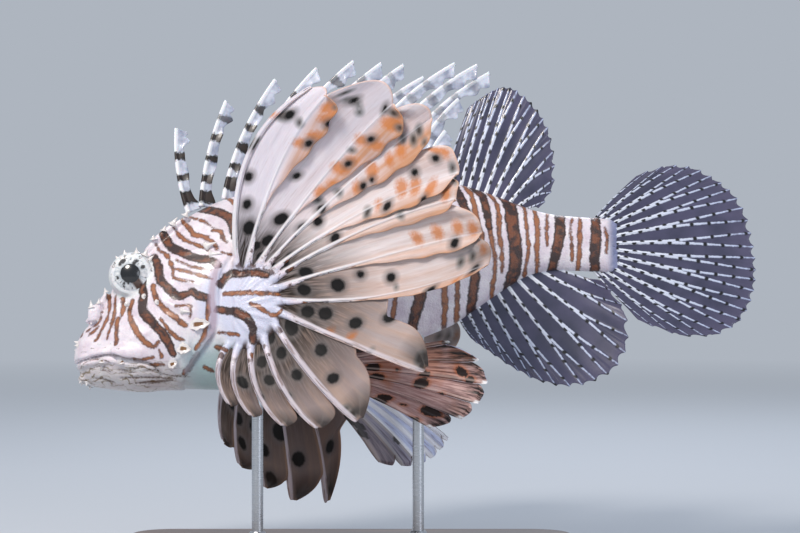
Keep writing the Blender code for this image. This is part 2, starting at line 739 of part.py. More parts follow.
def build_pectorals(finish):
    numbers = np.arange(len(PECTORAL_RAYS))
    still = np.zeros((len(numbers), 2))
    lowered = np.stack([spline([(key[0], key[k]) for key in RIGHT_SHIFT], numbers) for k in (1, 2)], 1)
    left = pectoral_fin(still, LEFT_FREE_FROM, LEFT_LOBE_WIDTHS)
    right = mirrored(*pectoral_fin(lowered, RIGHT_FREE_FROM, RIGHT_LOBE_WIDTHS))
    return [
        build_paired_fin("pectoral_fin_left", left, finish),
        build_paired_fin("pectoral_fin_right", right, finish),
    ]


# Spiny dorsal fin: (spine, root place along X, tip place along X, tip height).
SPINE_KEYS = (
    (0, -93.5, -100, 63), (1, -88, -78, 76), (2, -78, -56, 85.5), (3, -69, -37.5, 91), (4, -60, -21, 94.5),
    (5, -50.5, -8.5, 93), (6, -41.5, 1.5, 92.5), (7, -32.5, 10.5, 87), (8, -23.5, 24.5, 93),
    (9, -14.5, 34.5, 92.5), (10, -5.5, 40, 89), (11, 3.5, 26, 76.5), (12, 10, 20, 62),
)
SPINE_SINK = 3.0
SPINE_WEB = 5.4
SPINE_THICKNESS = (2.2, 0.8, 0.6)
SPINE_ROWS = 7


def spine_rays(rows):
    """The dorsal spines from the last to the first, since each one's web runs back from it."""
    rays = []
    for number, root_x, tip_x, tip_z in SPINE_KEYS[::-1]:
        root = np.array([root_x, 0, float(spline(BACK_LINE, root_x + 2)) - SPINE_SINK])
        tip = np.array([tip_x, 0, tip_z])
        lean = tip - root
        first = (lean[0] * 0.55 - 4, 0, lean[2])
        rays.append(ray_points(root, tip, first, rows))
    last = rays[0]
    tail_edge = last.copy()
    tail_edge[:, 0] += 3.5 * (1 - 0.5 * np.linspace(0, 1, rows))
    tail_edge[:, 2] -= 2.0 * np.linspace(0, 1, rows)
    return np.array([tail_edge, *rays])


def build_spiny_dorsal(finish):
    rays = spine_rays(SPINE_ROWS)
    count = len(rays)
    free_from = [SPINE_ROWS] * 2 + [1] * (count - 2)
    shape = fan(rays, free_from, [SPINE_WEB] * count, SPINE_THICKNESS, 1.0, 0.2, fore=True)
    fin = mesh_object("dorsal_fin_spiny", *shape)
    combine(fin, "DIFFERENCE", body_cutters(), "MANIFOLD")
    keep_largest(fin)
    return dress(fin, finish)


MEDIAN_FIN_THICKNESS = (1.5, 0.8, 0.6)
MEDIAN_RIDGE_FOOT = 0.8
MEDIAN_TIP_DIP = -0.08
MEDIAN_ROWS = 7


def median_fin(name, roots, tips, firsts, finish, side_bend=0.0):
    """An unpaired fin in the fish's mid plane, webbed to its edge."""
    rows = MEDIAN_ROWS
    rays = []
    for root, tip, first in zip(roots, tips, firsts):
        ray = ray_points((root[0], 0, root[1]), (tip[0], 0, tip[1]), (first[0], 0, first[1]), rows)
        ray[:, 1] -= side_bend * np.linspace(0, 1, rows) ** 2
        rays.append(ray)
    webbed = [rows] * len(rays)
    widths = [0.0] * len(rays)
    shape = fan(rays, webbed, widths, MEDIAN_FIN_THICKNESS, MEDIAN_RIDGE_FOOT, MEDIAN_TIP_DIP)
    fin = mesh_object(name, *shape)
    combine(fin, "DIFFERENCE", body_cutters(), "MANIFOLD")
    keep_largest(fin)
    return dress(fin, finish)


# Rounded outlines of the unpaired fins: (share round the edge, X, height) of the ray tips.
SOFT_DORSAL_RAYS = 11
SOFT_DORSAL_EDGE = (
    (0, 30.5, 73), (0.2, 40, 80), (0.38, 49.5, 82.5), (0.55, 60.5, 73.5), (0.75, 68.3, 56), (0.9, 68.7, 36),
    (1, 63, 27),
)
SOFT_DORSAL_ROOTS = ((0, 19, 35), (0.5, 37, 30.5), (1, 54, 24.5))
CAUDAL_RAYS = 14
CAUDAL_ROOT_X = 84.0
CAUDAL_ROOT_MIDDLE = 9.5
CAUDAL_ROOT_HALF = 10.5
CAUDAL_EDGE = (
    (0, 106.5, 42.5), (0.1, 123.5, 47), (0.22, 139.5, 40.5), (0.36, 152, 27.5), (0.5, 156.5, 6),
    (0.65, 155.3, -12.5), (0.78, 147, -27), (0.9, 128, -32.5), (1, 106.5, -25.5),
)
ANAL_RAYS = 10
ANAL_EDGE = (
    (0, 31.5, -34), (0.14, 41, -41), (0.3, 56, -51), (0.5, 76, -54.8), (0.66, 92.5, -48.5), (0.8, 100, -34),
    (0.91, 98, -19), (1, 90, -8.5),
)
ANAL_ROOTS = ((0, 25, -22), (0.5, 44, -8.5), (1, 66, 0.5))
ANAL_BEND = 7.0


def edge_points(edge, shares):
    return np.stack([spline([(key[0], key[k]) for key in edge], shares) for k in (1, 2)], axis=1)


def build_median_fins(finish):
    shares = np.linspace(0, 1, SOFT_DORSAL_RAYS)
    tips, roots = edge_points(SOFT_DORSAL_EDGE, shares), edge_points(SOFT_DORSAL_ROOTS, shares)
    firsts = (tips - roots) * (0.85, 1.0) + (0, 4)
    soft = median_fin("dorsal_fin_soft", roots, tips, firsts, finish)

    shares = np.linspace(0, 1, CAUDAL_RAYS)
    tips = edge_points(CAUDAL_EDGE, shares)
    root_heights = CAUDAL_ROOT_MIDDLE + CAUDAL_ROOT_HALF * (1 - 2 * shares)
    roots = np.stack([CAUDAL_ROOT_X + 2 * np.sin(shares * math.pi), root_heights], 1)
    firsts = (tips - roots) * (1.0, 1.15)
    caudal = median_fin("caudal_fin", roots, tips, firsts, finish)

    shares = np.linspace(0, 1, ANAL_RAYS)
    tips, roots = edge_points(ANAL_EDGE, shares), edge_points(ANAL_ROOTS, shares)
    firsts = (tips - roots) * (1.0, 1.1)
    anal = median_fin("anal_fin", roots, tips, firsts, finish, ANAL_BEND)
    return [soft, caudal, anal]


# Pelvic fins: for each ray its tip, seen from the fish's left, and how far the tip stands out.
PELVIC_ROOT = (-41.0, -6.5, -48.0)
PELVIC_ROOT_STEP = (1.9, -0.9, 0.75)
PELVIC_ROWS = 8
PELVIC_LOBE_WIDTH = 40.0
PELVIC_TIP_BULGE = 0.1
PELVIC_LIFT = 0.5
PELVIC_LEFT = ((13, -75, 20), (26, -72, 25), (33, -66, 29), (36.5, -58, 32), (33, -48, 32), (21, -40, 29))
PELVIC_RIGHT = ((-9, -84, 13), (1, -85, 17), (8, -84, 20), (14, -81, 22), (18, -77, 23), (21, -73, 22))


def pelvic_fin(tips):
    rays = []
    for i, (tip_x, tip_z, out) in enumerate(tips):
        root = np.array(PELVIC_ROOT) + np.array(PELVIC_ROOT_STEP) * i
        tip = np.array([tip_x, PELVIC_ROOT[1] - out, tip_z])
        lean = tip - root
        first = lean * (1, 0.6, 0.8) + (0, 0, 0.06 * np.linalg.norm(lean))
        rays.append(ray_points(root, tip, first, PELVIC_ROWS))
    count = len(rays)
    free_from = [PELVIC_ROWS] * 2 + [PELVIC_ROWS - 2] * (count - 2)
    widths = [PELVIC_LOBE_WIDTH] * count
    return fan(rays[::-1], free_from, widths, PAIRED_FIN_THICKNESS, RIDGE_FOOT, PELVIC_TIP_BULGE, PELVIC_LIFT)


def build_pelvics(finish):
    return [
        build_paired_fin("pelvic_fin_left", pelvic_fin(PELVIC_LEFT), finish),
        build_paired_fin("pelvic_fin_right", mirrored(*pelvic_fin(PELVIC_RIGHT)), finish),
    ]


def pose_fish(parts):
    """Rolls the fish belly outwards about its length and lifts it over the stand."""
    pose = bpy.data.objects.new("fish_pose", None)
    bpy.context.scene.collection.objects.link(pose)
    pose.rotation_euler = (-math.radians(BANK_DEG), 0, 0)
    pose.location = (0, 0, FISH_HEIGHT * MM)
    for part in parts:
        part.parent = pose


def build_base(finish):
    length, depth, height = (size * MM for size in BASE_SIZE)
    mesh = bpy.data.meshes.new("stand_base")
    shape = bmesh.new()
    bmesh.ops.create_cube(shape, size=1, matrix=Matrix.Diagonal((length, depth, height, 1)))
    upright = [e for e in shape.edges if abs(e.verts[0].co.z - e.verts[1].co.z) > height / 2]
    bmesh.ops.bevel(shape, geom=upright, offset=BASE_CORNER * MM, segments=5, profile=0.5, affect="EDGES")
    on_top = [e for e in shape.edges if all(v.co.z > height * 0.49 for v in e.verts)]
    rim = [e for e in on_top if abs(e.calc_face_angle(0)) > 0.5]
    bmesh.ops.bevel(shape, geom=rim, offset=BASE_EDGE * MM, segments=2, profile=0.5, affect="EDGES")
    shape.to_mesh(mesh)
    shape.free()
    base = bpy.data.objects.new("stand_base", mesh)
    base.location = (BASE_CENTRE_X * MM, BASE_CENTRE_Y * MM, height / 2)
    bpy.context.scene.collection.objects.link(base)
    return dress(base, finish)


def build_rod(name, x, y, finish):
    """An upright rod from the base to the belly, shaped in the fish's own frame."""
    turn = np.arange(ROD_SIDES) * 2 * math.pi / ROD_SIDES
    around_x = x + ROD_DIAMETER / 2 * np.cos(turn)
    around_y = y + ROD_DIAMETER / 2 * np.sin(turn)
    heights = (BASE_SIZE[2] + GAP - FISH_HEIGHT, ROD_TOP)
    rings = [np.stack([around_x, around_y, np.full(ROD_SIDES, z)], 1) for z in heights]
    points, faces = outward(*lofted(rings))
    # The rod is upright in the room, so it is turned back into the fish's frame for the cut.
    back = Matrix.Rotation(math.radians(BANK_DEG), 3, "X")
    points = np.array([back @ Vector(point) for point in points])
    rod = mesh_object(name, points, faces)
    combine(rod, "DIFFERENCE", body_cutters(), "MANIFOLD")
    keep_largest(rod)
    return dress(rod, finish)


def main():
    clear_scene()
    skin = material("skin", SKIN_WHITE, 0.5)
    jaw_skin = material("jaw_skin", SKIN_WHITE, 0.5)
    brown = material("banded_spines", SKIN_BROWN, 0.5)
    pale = material("paired_fins", FIN_PALE, 0.5)
    dark = material("clear_fins", FIN_DARK, 0.4)
    eye = material("eye", EYE_DARK, 0.1)
    wood = material("stand_wood", BASE_WALNUT, 0.45)
    steel = material("stand_steel", ROD_STEEL, 0.3, 1.0)

    parts = [*build_head(skin, jaw_skin), build_trunk(skin)]
    parts.append(mesh_object("tail_stem", *stem_shape(), skin))
    parts += build_eyes(eye)
    parts.append(build_spiny_dorsal(brown))
    parts += build_median_fins(dark)
    parts += build_pectorals(pale)
    parts += build_pelvics(pale)
    rod_names = ("stand_rod_front", "stand_rod_rear")
    rods = [build_rod(name, x, y, steel) for name, (x, y) in zip(rod_names, ROD_PLACES)]
    build_base(wood)
    pose_fish([*parts, *rods])


main()
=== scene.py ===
"""Red lionfish at life size, a still display model on a wooden base: its fine shapes and finishes.

The fish is worked out upright in its own frame, in millimetres: +X runs to the tail, -Y is its left
side and +Z is up. in_room() then rolls it belly outwards and lifts it over the base.
"""
import math

import bmesh
import bpy
import numpy as np
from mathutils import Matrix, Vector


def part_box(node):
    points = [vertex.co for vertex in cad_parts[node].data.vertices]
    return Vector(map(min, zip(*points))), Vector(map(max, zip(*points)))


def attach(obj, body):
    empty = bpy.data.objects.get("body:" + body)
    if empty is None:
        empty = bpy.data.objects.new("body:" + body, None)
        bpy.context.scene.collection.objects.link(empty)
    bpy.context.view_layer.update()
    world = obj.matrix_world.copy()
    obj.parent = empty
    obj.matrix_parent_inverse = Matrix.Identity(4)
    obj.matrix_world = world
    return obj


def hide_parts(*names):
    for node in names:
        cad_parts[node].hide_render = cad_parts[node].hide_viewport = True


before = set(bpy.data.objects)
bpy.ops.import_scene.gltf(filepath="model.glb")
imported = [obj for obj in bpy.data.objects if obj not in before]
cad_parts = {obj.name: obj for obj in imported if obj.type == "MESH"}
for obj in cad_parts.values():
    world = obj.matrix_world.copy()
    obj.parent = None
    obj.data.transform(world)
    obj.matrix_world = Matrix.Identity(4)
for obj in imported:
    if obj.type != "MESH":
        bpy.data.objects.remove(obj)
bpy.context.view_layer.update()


# Body skin.
# One closed skin over head, lower jaw, trunk and tail stem, cast in resin round the bones' forms:
# orbits, jaw plates, gill cover and the fleshy bases of the pectoral fins, with no seams.
BANK_DEG = 12.0
FISH_HEIGHT = 129.0
SNOUT_X = -142.0
SNOUT_ROUND = 6.0
GILL_X = -78.0
TAIL_X = 90.0
BACK_LINE = (
    (-143, -31), (-137, -27.5), (-130, -20), (-126, -10), (-122, -4), (-117, 2), (-112, 8), (-105, 16),
    (-92, 27), (-76, 33.5), (-60, 38.5), (-42, 42.5), (-22, 43.5), (-2, 42.3), (18, 39), (33, 35),
    (46, 30.3), (57, 26), (68, 23.3), (80, 22.2), (90, 21.5),
)
BELLY_LINE = (
    (-143, -52), (-130, -54), (-112, -55.5), (-95, -55), (-78, -54.2), (-60, -54.6), (-44, -52.8),
    (-26, -48.3), (-9, -40.7), (9, -32.2), (25, -25), (35, -18), (45, -11), (57, -4), (67, -1.9),
    (78, -2), (90, -2.6),
)
HALF_WIDTH = (
    (-143, 8), (-137, 9.8), (-130, 12.8), (-124, 15.3), (-117, 17.8), (-108, 20.3), (-98, 22.3),
    (-86, 23.2), (-76, 22.6), (-60, 22.4), (-42, 21.6), (-24, 19.8), (-6, 17.6), (12, 15), (30, 12.2),
    (45, 9.8), (58, 8), (70, 6.9), (82, 6.1), (90, 5.6),
)
WAIST = ((-143, 0.45), (-117, 0.36), (-98, 0.4), (-78, 0.46), (-40, 0.52), (20, 0.5), (90, 0.5))
PINCH_ABOVE = (
    (-143, 0.9), (-132, 1.1), (-120, 1.6), (-108, 1.45), (-92, 1.2), (-70, 1.08), (0, 1.02), (90, 1.0),
)
PINCH_BELOW = ((-143, 0.85), (-110, 0.8), (-80, 0.82), (-40, 0.95), (20, 1.0), (90, 1.0))
SKIN_AROUND = 132
CHIN_BACK = 2.0
GILL_FLARE = 1.5
GILL_FLARE_LENGTH = 16.0
EYE_CENTRE = np.array([-116.5, -11.3, -6.3])
EYE_RADIUS = 9.0
EYE_GAZE = np.array([0.03, -0.99, -0.09]) / np.linalg.norm([0.03, -0.99, -0.09])
ORBIT_RADIUS = 10.3
ORBIT_SINK = 2.2
MOUTH_LINE = (
    (-150, -44.6), (-142, -44.3), (-138, -43.9), (-132, -42.9), (-125, -42.4), (-118, -44.6), (-111, -45.6),
    (-106, -47.2), (-103, -51),
)
HEAD_RIDGES = (
    # the cheek's ridge, the brow from orbit to nape, the snout's ridge, and the nostril's hump and tube
    (((-109, -16.4, -15), (-103, -19.6, -18.5), (-98, -21.2, -21.5), (-92, -22.6, -23.5), (-88, -22.6, -25)),
     (1.2, 1.9, 1.9, 1.4, 0.8)),
    (((-111, -6.5, 4.5), (-106, -6.8, 11.0), (-100, -7.4, 16.0), (-93, -8.0, 20.5)), (1.6, 1.7, 1.5, 0.9)),
    (((-136.5, -4.6, -26.2), (-132, -5.4, -20.5), (-127.5, -5.8, -13.5)), (1.0, 1.5, 1.6)),
    (((-133.2, -6.8, -25.5), (-133.8, -8.0, -21.5), (-134.0, -8.6, -18.9)), (2.6, 1.9, 1.0)),
    (((-131.4, -7.0, -23), (-131.0, -8.4, -19.5), (-130.9, -8.9, -17.4)), (2.0, 1.5, 0.9)),
)
PAD_CENTRE = np.array([-67.0, -20.5, -23.5])
PAD_RADII = np.array([18.5, 5.6, 19.0])
PAD_YAW = math.radians(15)
PECTORAL_RAYS = (
    # angle of the root round the pad, first direction, tip X, tip height, how far the tip stands out
    (99, 99, -37, 63.5, 38), (86, 78, -31, 58, 44), (76, 55, -3, 53, 50), (66, 46, 13, 46, 54),
    (56, 36, 24, 22, 57), (45, 30, 22.5, 10.5, 58), (31, 14, 33, -3, 58), (11, -8, 36, -16, 57),
    (-6, -28, 9.5, -58.5, 46), (-25, -60, -18, -77.5, 36), (-52, -79, -34.5, -79, 28),
    (-75, -96, -49, -77, 22), (-96, -112, -62.5, -72, 17), (-112, -128, -72, -66.5, 13),
)
BOWS = (0.66, 0.6, 0.54, 0.52, *[0.5] * 10)
PECTORAL_ROOT_RADIUS = 15.0
RAY_ROWS = 110
FINGER_LENGTH = 19.0
FINGER_RADII = (2.1, 0.3)
STEM_WEDGE = ((0.93, 1.0, 1), (0.78, 1.0, 2), (0.56, 0.98, 3), (0.34, 0.94, 4), (0.14, 0.86, 4.8))
SKIN_VOXEL = 0.72


def spline(keys, places):
    """Smooth curve through (place, value) keys, read at the places."""
    key_x, key_y = (np.array(column, float) for column in zip(*keys))
    places = np.clip(np.asarray(places, float), key_x[0], key_x[-1])
    slope = np.gradient(key_y, key_x)
    left = np.clip(np.searchsorted(key_x, places) - 1, 0, len(key_x) - 2)
    span = key_x[left + 1] - key_x[left]
    t = (places - key_x[left]) / span
    rise = 3 * t**2 - 2 * t**3
    return (
        key_y[left] * (1 - rise)
        + key_y[left + 1] * rise
        + span * slope[left] * (t**3 - 2 * t**2 + t)
        + span * slope[left + 1] * (t**3 - t**2)
    )


def step(value, start, end):
    """0 before start, 1 after end, smooth between them."""
    t = np.clip((value - start) / (end - start), 0, 1)
    return t * t * (3 - 2 * t)


def unit(vectors):
    vectors = np.asarray(vectors, float)
    return vectors / np.maximum(np.linalg.norm(vectors, axis=-1, keepdims=True), 1e-9)


def in_room(points):
    """Places in the fish's frame, in millimetres, as places in the room, in metres."""
    x, y, z = np.asarray(points, float).T
    cos, sin = math.cos(math.radians(BANK_DEG)), math.sin(math.radians(BANK_DEG))
    return np.stack([x, y * cos + z * sin, -y * sin + z * cos + FISH_HEIGHT], axis=1) * 0.001


def section(place, angles, flare=0.0):
    """Half width and height of the body's outline at one place, by the angle from the back."""
    top, bottom, half = (float(spline(line, place)) for line in (BACK_LINE, BELLY_LINE, HALF_WIDTH))
    waist = bottom + (top - bottom) * float(spline(WAIST, place))
    middle = (top + bottom) / 2
    into_snout = np.clip((SNOUT_X + SNOUT_ROUND - place) / SNOUT_ROUND, 0, 1)
    shrink = math.sqrt(max(1 - into_snout**2, 0.0))
    up, out = np.cos(angles), np.sin(angles)
    pinch = np.where(up > 0, spline(PINCH_ABOVE, place), spline(PINCH_BELOW, place))
    height = np.where(up > 0, waist + (top - waist) * up, waist + (waist - bottom) * up)
    width = half * np.sign(out) * np.abs(out) ** pinch
    low_side = step(-height, -8, 4)
    width = width + np.sign(out) * flare * low_side * np.abs(out)
    height = height - flare * 0.35 * low_side * np.maximum(-up, 0)
    height = middle + (height - middle) * shrink
    return width * shrink, height


def body_ring(place, flare=0.0, shift=0.0):
    """Points round the body. The rings bow along it so that they follow the gill cover's edge."""
    width, height = section(place, np.arange(SKIN_AROUND) * math.tau / SKIN_AROUND, flare)
    near = step(place, -118, -80) * (1 - step(place, -74, -30))
    lean = near * (9 * step(height, -12, 12) - 17 * step(-height, 28, 58))
    chin = CHIN_BACK * step(-height, 43, 49) * step(-place, 124, 140)
    along = place + lean + chin + shift * (0.35 + 0.65 * step(-height, -8, 12))
    return np.stack([along, width, height], axis=1)


def half_width_at(place, height):
    """The body's half width at one place and height of the side view."""
    width, level = section(place, np.linspace(0.01, math.pi - 0.01, 240))
    return float(np.interp(-height, -level, width))


def lofted(rings, front=None, back=None):
    """Closed form through rings of points, each end drawn to a point."""
    rings = np.asarray(rings, float)
    rows, count, _ = rings.shape
    front = rings[0].mean(axis=0) if front is None else np.asarray(front, float)
    back = rings[-1].mean(axis=0) if back is None else np.asarray(back, float)
    points = np.vstack([rings.reshape(-1, 3), front, back])
    here = np.arange(rows * count).reshape(rows, count)
    there = np.roll(here, -1, axis=1)
    sides = np.stack([here[:-1], here[1:], there[1:], there[:-1]], axis=-1).reshape(-1, 4)
    first = [(rows * count, a, b) for a, b in zip(here[0], there[0])]
    last = [(rows * count + 1, b, a) for a, b in zip(here[-1], there[-1])]
    return outward(points, [*sides.tolist(), *first, *last])


def outward(points, faces):
    """The faces turned round if the closed form is inside out."""
    corners = np.array([(face[0], face[1], face[2]) for face in faces])
    others = np.array([(face[0], face[2], face[3]) for face in faces if len(face) == 4]).reshape(-1, 3)
    a, b, c = (points[np.concatenate([corners, others])[:, k]] for k in range(3))
    volume = np.einsum("ij,ij->", a, np.cross(b, c))
    return points, faces if volume > 0 else [face[::-1] for face in faces]


def spokes(axis, count):
    """Unit vectors evenly round an axis and square to it."""
    side = unit(np.cross(axis, (1, 0, 0.3)))
    turn = np.arange(count) * math.tau / count
    return np.cos(turn)[:, None] * side + np.sin(turn)[:, None] * np.cross(axis, side)


def ball(centre, radii, segments=32, rows=18, axis=(0, 0, 1), bulge=lambda angle: 0.0):
    """A sphere or ellipsoid whose poles lie on the axis. bulge adds to the radius by the angle from it."""
    pole = unit(axis)
    round_pole = spokes(pole, segments)
    rings = [
        (round_pole * math.sin(angle) + pole * math.cos(angle)) * (1.0 + bulge(angle))
        for angle in np.linspace(0, math.pi, rows + 1)[1:-1]
    ]
    points, faces = lofted(rings, pole * (1.0 + bulge(0.0)), -pole)
    return points * np.asarray(radii, float) + np.asarray(centre, float), faces


def tube(path, radii, sides=14):
    """A closed tube along a path, with a radius at each of its points."""
    path = np.asarray(path, float)
    tangents = unit(np.gradient(path, axis=0))
    side = unit(np.cross(tangents, (0.13, 0.09, 1.0)))
    other = np.cross(tangents, side)
    turn = np.arange(sides) * math.tau / sides
    spokes = np.cos(turn)[None, :, None] * side[:, None] + np.sin(turn)[None, :, None] * other[:, None]
    return lofted(path[:, None] + spokes * np.asarray(radii, float)[:, None, None])


def hoop(centre, axis, radius, thickness, around=72, sides=12):
    """A closed ring of round section about an axis."""
    axis = unit(axis)
    roll = np.arange(sides) * math.tau / sides
    spoke = spokes(axis, around)
    points = centre + spoke[:, None] * (radius + thickness * np.cos(roll))[None, :, None]
    points = points + axis * (thickness * np.sin(roll))[None, :, None]
    here = np.arange(around * sides).reshape(around, sides)
    ahead, beside = np.roll(here, -1, axis=0), np.roll(here, -1, axis=1)
    both = np.roll(ahead, -1, axis=1)
    faces = np.stack([here, ahead, both, beside], axis=-1).reshape(-1, 4)
    return outward(points.reshape(-1, 3), faces.tolist())


def mirrored(points, faces):
    """The same form on the fish's other side."""
    return np.asarray(points, float) * (1, -1, 1), [face[::-1] for face in faces]


def joined(forms):
    """Several closed forms as one set of points and faces."""
    points, faces, start = [], [], 0
    for some_points, some_faces in forms:
        points.append(some_points)
        faces += [tuple(k + start for k in face) for face in some_faces]
        start += len(some_points)
    return np.vstack(points), faces


def curved_ray(root, tip, first, shares, bow=0.5):
    """A fin ray as a smooth curve that leaves its root along the first direction."""
    root, tip = np.asarray(root, float), np.asarray(tip, float)
    control = root + unit(first) * np.linalg.norm(tip - root) * bow
    t = np.asarray(shares, float)[:, None]
    return root * (1 - t) ** 2 + control * 2 * t * (1 - t) + tip * t**2


def edge_points(keys, places):
    """Two smooth curves through (place, value, value) keys, read at the places: one row for each place."""
    return np.stack([spline([(key[0], key[k]) for key in keys], places) for k in (1, 2)], axis=1)


def pectoral_rays(shifts):
    """The rays of a pectoral fan, each tip moved by its shift in X and in height."""
    rays = []
    for (round_pad, first, tip_x, tip_z, out), shift, bow in zip(PECTORAL_RAYS, shifts, BOWS):
        around, lean = math.radians(round_pad), math.radians(first)
        along, up = PECTORAL_ROOT_RADIUS * math.cos(around), PECTORAL_ROOT_RADIUS * math.sin(around)
        root = PAD_CENTRE + (along * math.cos(PAD_YAW), -along * math.sin(PAD_YAW) - 1.5, up)
        tip = np.array([tip_x + shift[0], PAD_CENTRE[1] - 4 - out, tip_z + shift[1]])
        leaves_at = (math.cos(lean), -0.75 * out / np.linalg.norm(tip - root), math.sin(lean))
        rays.append(curved_ray(root, tip, leaves_at, np.linspace(0, 1, RAY_ROWS), bow))
    return np.array(rays)


LEFT_RAYS = pectoral_rays(np.zeros((len(PECTORAL_RAYS), 2)))


def lip_path(offset, inset):
    """Round the snout beside the mouth line, from the left corner of the mouth to the right one."""
    places = np.linspace(-107, -141.4, 30)
    heights = spline(MOUTH_LINE, places) + offset
    side = [(x + inset * (x < -137) * (-137 - x) / 4.4, -half_width_at(x, z) + 0.35, z)
            for x, z in zip(places, heights)]
    front = (SNOUT_X + inset, 0, float(spline(MOUTH_LINE, SNOUT_X)) + offset)
    return np.array([*side, front, *[(x, -y, z) for x, y, z in side[::-1]]])


def skin_forms():
    """The closed forms that the skin is drawn over."""
    snout = SNOUT_X + SNOUT_ROUND * (1 - np.cos(np.radians(np.arange(12, 91, 13))))
    places = [*snout, *np.arange(-135.8, GILL_X - 0.2, 1.2), GILL_X]
    head = [body_ring(x, GILL_FLARE * float(step(x, GILL_X - GILL_FLARE_LENGTH, GILL_X))) for x in places]
    trunk = [body_ring(GILL_X, shift=1.0), *[body_ring(x) for x in np.arange(-76, TAIL_X + 0.1, 1.6)]]
    end = body_ring(TAIL_X)
    middle = end.mean(axis=0)
    # The stem thins to a wedge with a scalloped edge over the roots of the tail's rays.
    for thin, tall, on in STEM_WEDGE:
        last = middle + (end - middle) * (1, thin, tall)
        last[:, 0] += on + 0.3 * on * np.cos((last[:, 2] - middle[2]) * math.tau / 1.7)
        trunk.append(last)
    forms = [lofted(head, front=(SNOUT_X, 0, head[0][:, 2].mean())), lofted(trunk)]
    # Both orbits stand out as turrets, each with a soft rim of skin round the eyeball.
    socket = EYE_CENTRE - EYE_GAZE * ORBIT_SINK
    paired = [ball(socket, [ORBIT_RADIUS] * 3, 64, 40, EYE_GAZE)]
    paired.append(hoop(EYE_CENTRE + EYE_GAZE * 4.3, EYE_GAZE, 8.1, 0.95))
    # The base of the pectoral fin.
    points, faces = ball((0, 0, 0), PAD_RADII, 64, 40)
    turn = np.array([
        [math.cos(PAD_YAW), math.sin(PAD_YAW), 0], [-math.sin(PAD_YAW), math.cos(PAD_YAW), 0], [0, 0, 1],
    ])
    paired.append((points @ turn.T + PAD_CENTRE, faces))
    # The hind plate of the upper jaw beside the corner of the mouth, and the head's ridges.
    paired.append(ball((-114.5, -16.6, -41.0), (10.0, 3.1, 3.9), 40, 24, (1, 0, 0)))
    paired += [tube(path, radii) for path, radii in HEAD_RIDGES]
    # Fleshy fingers of the pectoral base, one along the root of each ray.
    for ray in LEFT_RAYS:
        reach = np.linalg.norm(ray - ray[0], axis=1)
        root = ray[reach < FINGER_LENGTH][::2]
        inward = PAD_CENTRE + (root[0] - PAD_CENTRE) * 0.75
        path = np.vstack([[inward], root])
        thick, thin = FINGER_RADII
        paired.append(tube(path, thin + (thick - thin) * np.linspace(1, 0, len(path)) ** 0.8))
    forms += [form for one in paired for form in (one, mirrored(*one))]
    across = np.linspace(-1, 1, 61)
    forms.append(tube(lip_path(1.7, 1.9), 1.75 * (1 - 0.5 * np.abs(across) ** 3)))
    forms.append(tube(lip_path(-1.6, 4.0), 1.35 * (1 - 0.5 * np.abs(across) ** 3)))
    # The chin stands forward below the lower lip.
    forms.append(tube([(-137.2, -4.2, -50.0), (-138.2, 0, -50.4), (-137.2, 4.2, -50.0)], (1.6, 2.1, 1.6)))
    return forms


def plain_object(name, points, faces):
    mesh = bpy.data.meshes.new(name)
    mesh.from_pydata(np.asarray(points, float).tolist(), [], [list(face) for face in faces])
    made = bpy.data.objects.new(name, mesh)
    bpy.context.scene.collection.objects.link(made)
    return made


def one_skin(forms, voxel):
    """The forms melted into one closed surface of small squares: its points and faces."""
    raw = plain_object("raw_skin", *joined(forms))
    melt = raw.modifiers.new("melt", "REMESH")
    melt.mode = "VOXEL"
    melt.voxel_size = voxel
    bpy.context.view_layer.update()
    graph = bpy.context.evaluated_depsgraph_get()
    mesh = bpy.data.meshes.new_from_object(raw.evaluated_get(graph))
    points = np.empty(len(mesh.vertices) * 3)
    mesh.vertices.foreach_get("co", points)
    corners = np.empty(len(mesh.loops), int)
    mesh.loops.foreach_get("vertex_index", corners)
    bpy.data.objects.remove(raw, do_unlink=True)
    bpy.data.meshes.remove(mesh)
    return points.reshape(-1, 3), corners.reshape(-1, 4)


def eased(points, faces, rounds, share=0.5):
    """The surface smoothed, each round followed by one that takes back most of the shrinking."""
    edges = np.unique(np.sort(np.stack([faces, np.roll(faces, -1, axis=1)], -1).reshape(-1, 2)), axis=0)
    count = np.bincount(edges.ravel(), minlength=len(points))[:, None]
    for _ in range(rounds):
        for pull in (share, -share * 0.96):
            total = np.stack([
                np.bincount(edges[:, 0], points[edges[:, 1], k], len(points))
                + np.bincount(edges[:, 1], points[edges[:, 0], k], len(points))
                for k in range(3)
            ], axis=1)
            points = points + (total / count - points) * pull
    return points


def point_normals(points, faces):
    across = np.cross(points[faces[:, 2]] - points[faces[:, 0]], points[faces[:, 3]] - points[faces[:, 1]])
    total = np.zeros_like(points)
    for k in range(4):
        for axis in range(3):
            total[:, axis] += np.bincount(faces[:, k], across[:, axis], len(points))
    return unit(total)


def traced(keys, spacing=0.5):
    """A smooth line through side-view keys: places (X, height), and the share along it."""
    keys = np.asarray(keys, float)
    run = np.concatenate([[0], np.cumsum(np.linalg.norm(np.diff(keys, axis=0), axis=1))])
    shares = np.linspace(0, 1, max(int(run[-1] / spacing), 4))
    line = np.stack([spline(list(zip(run, keys[:, k])), shares * run[-1]) for k in range(2)], axis=1)
    return line, shares


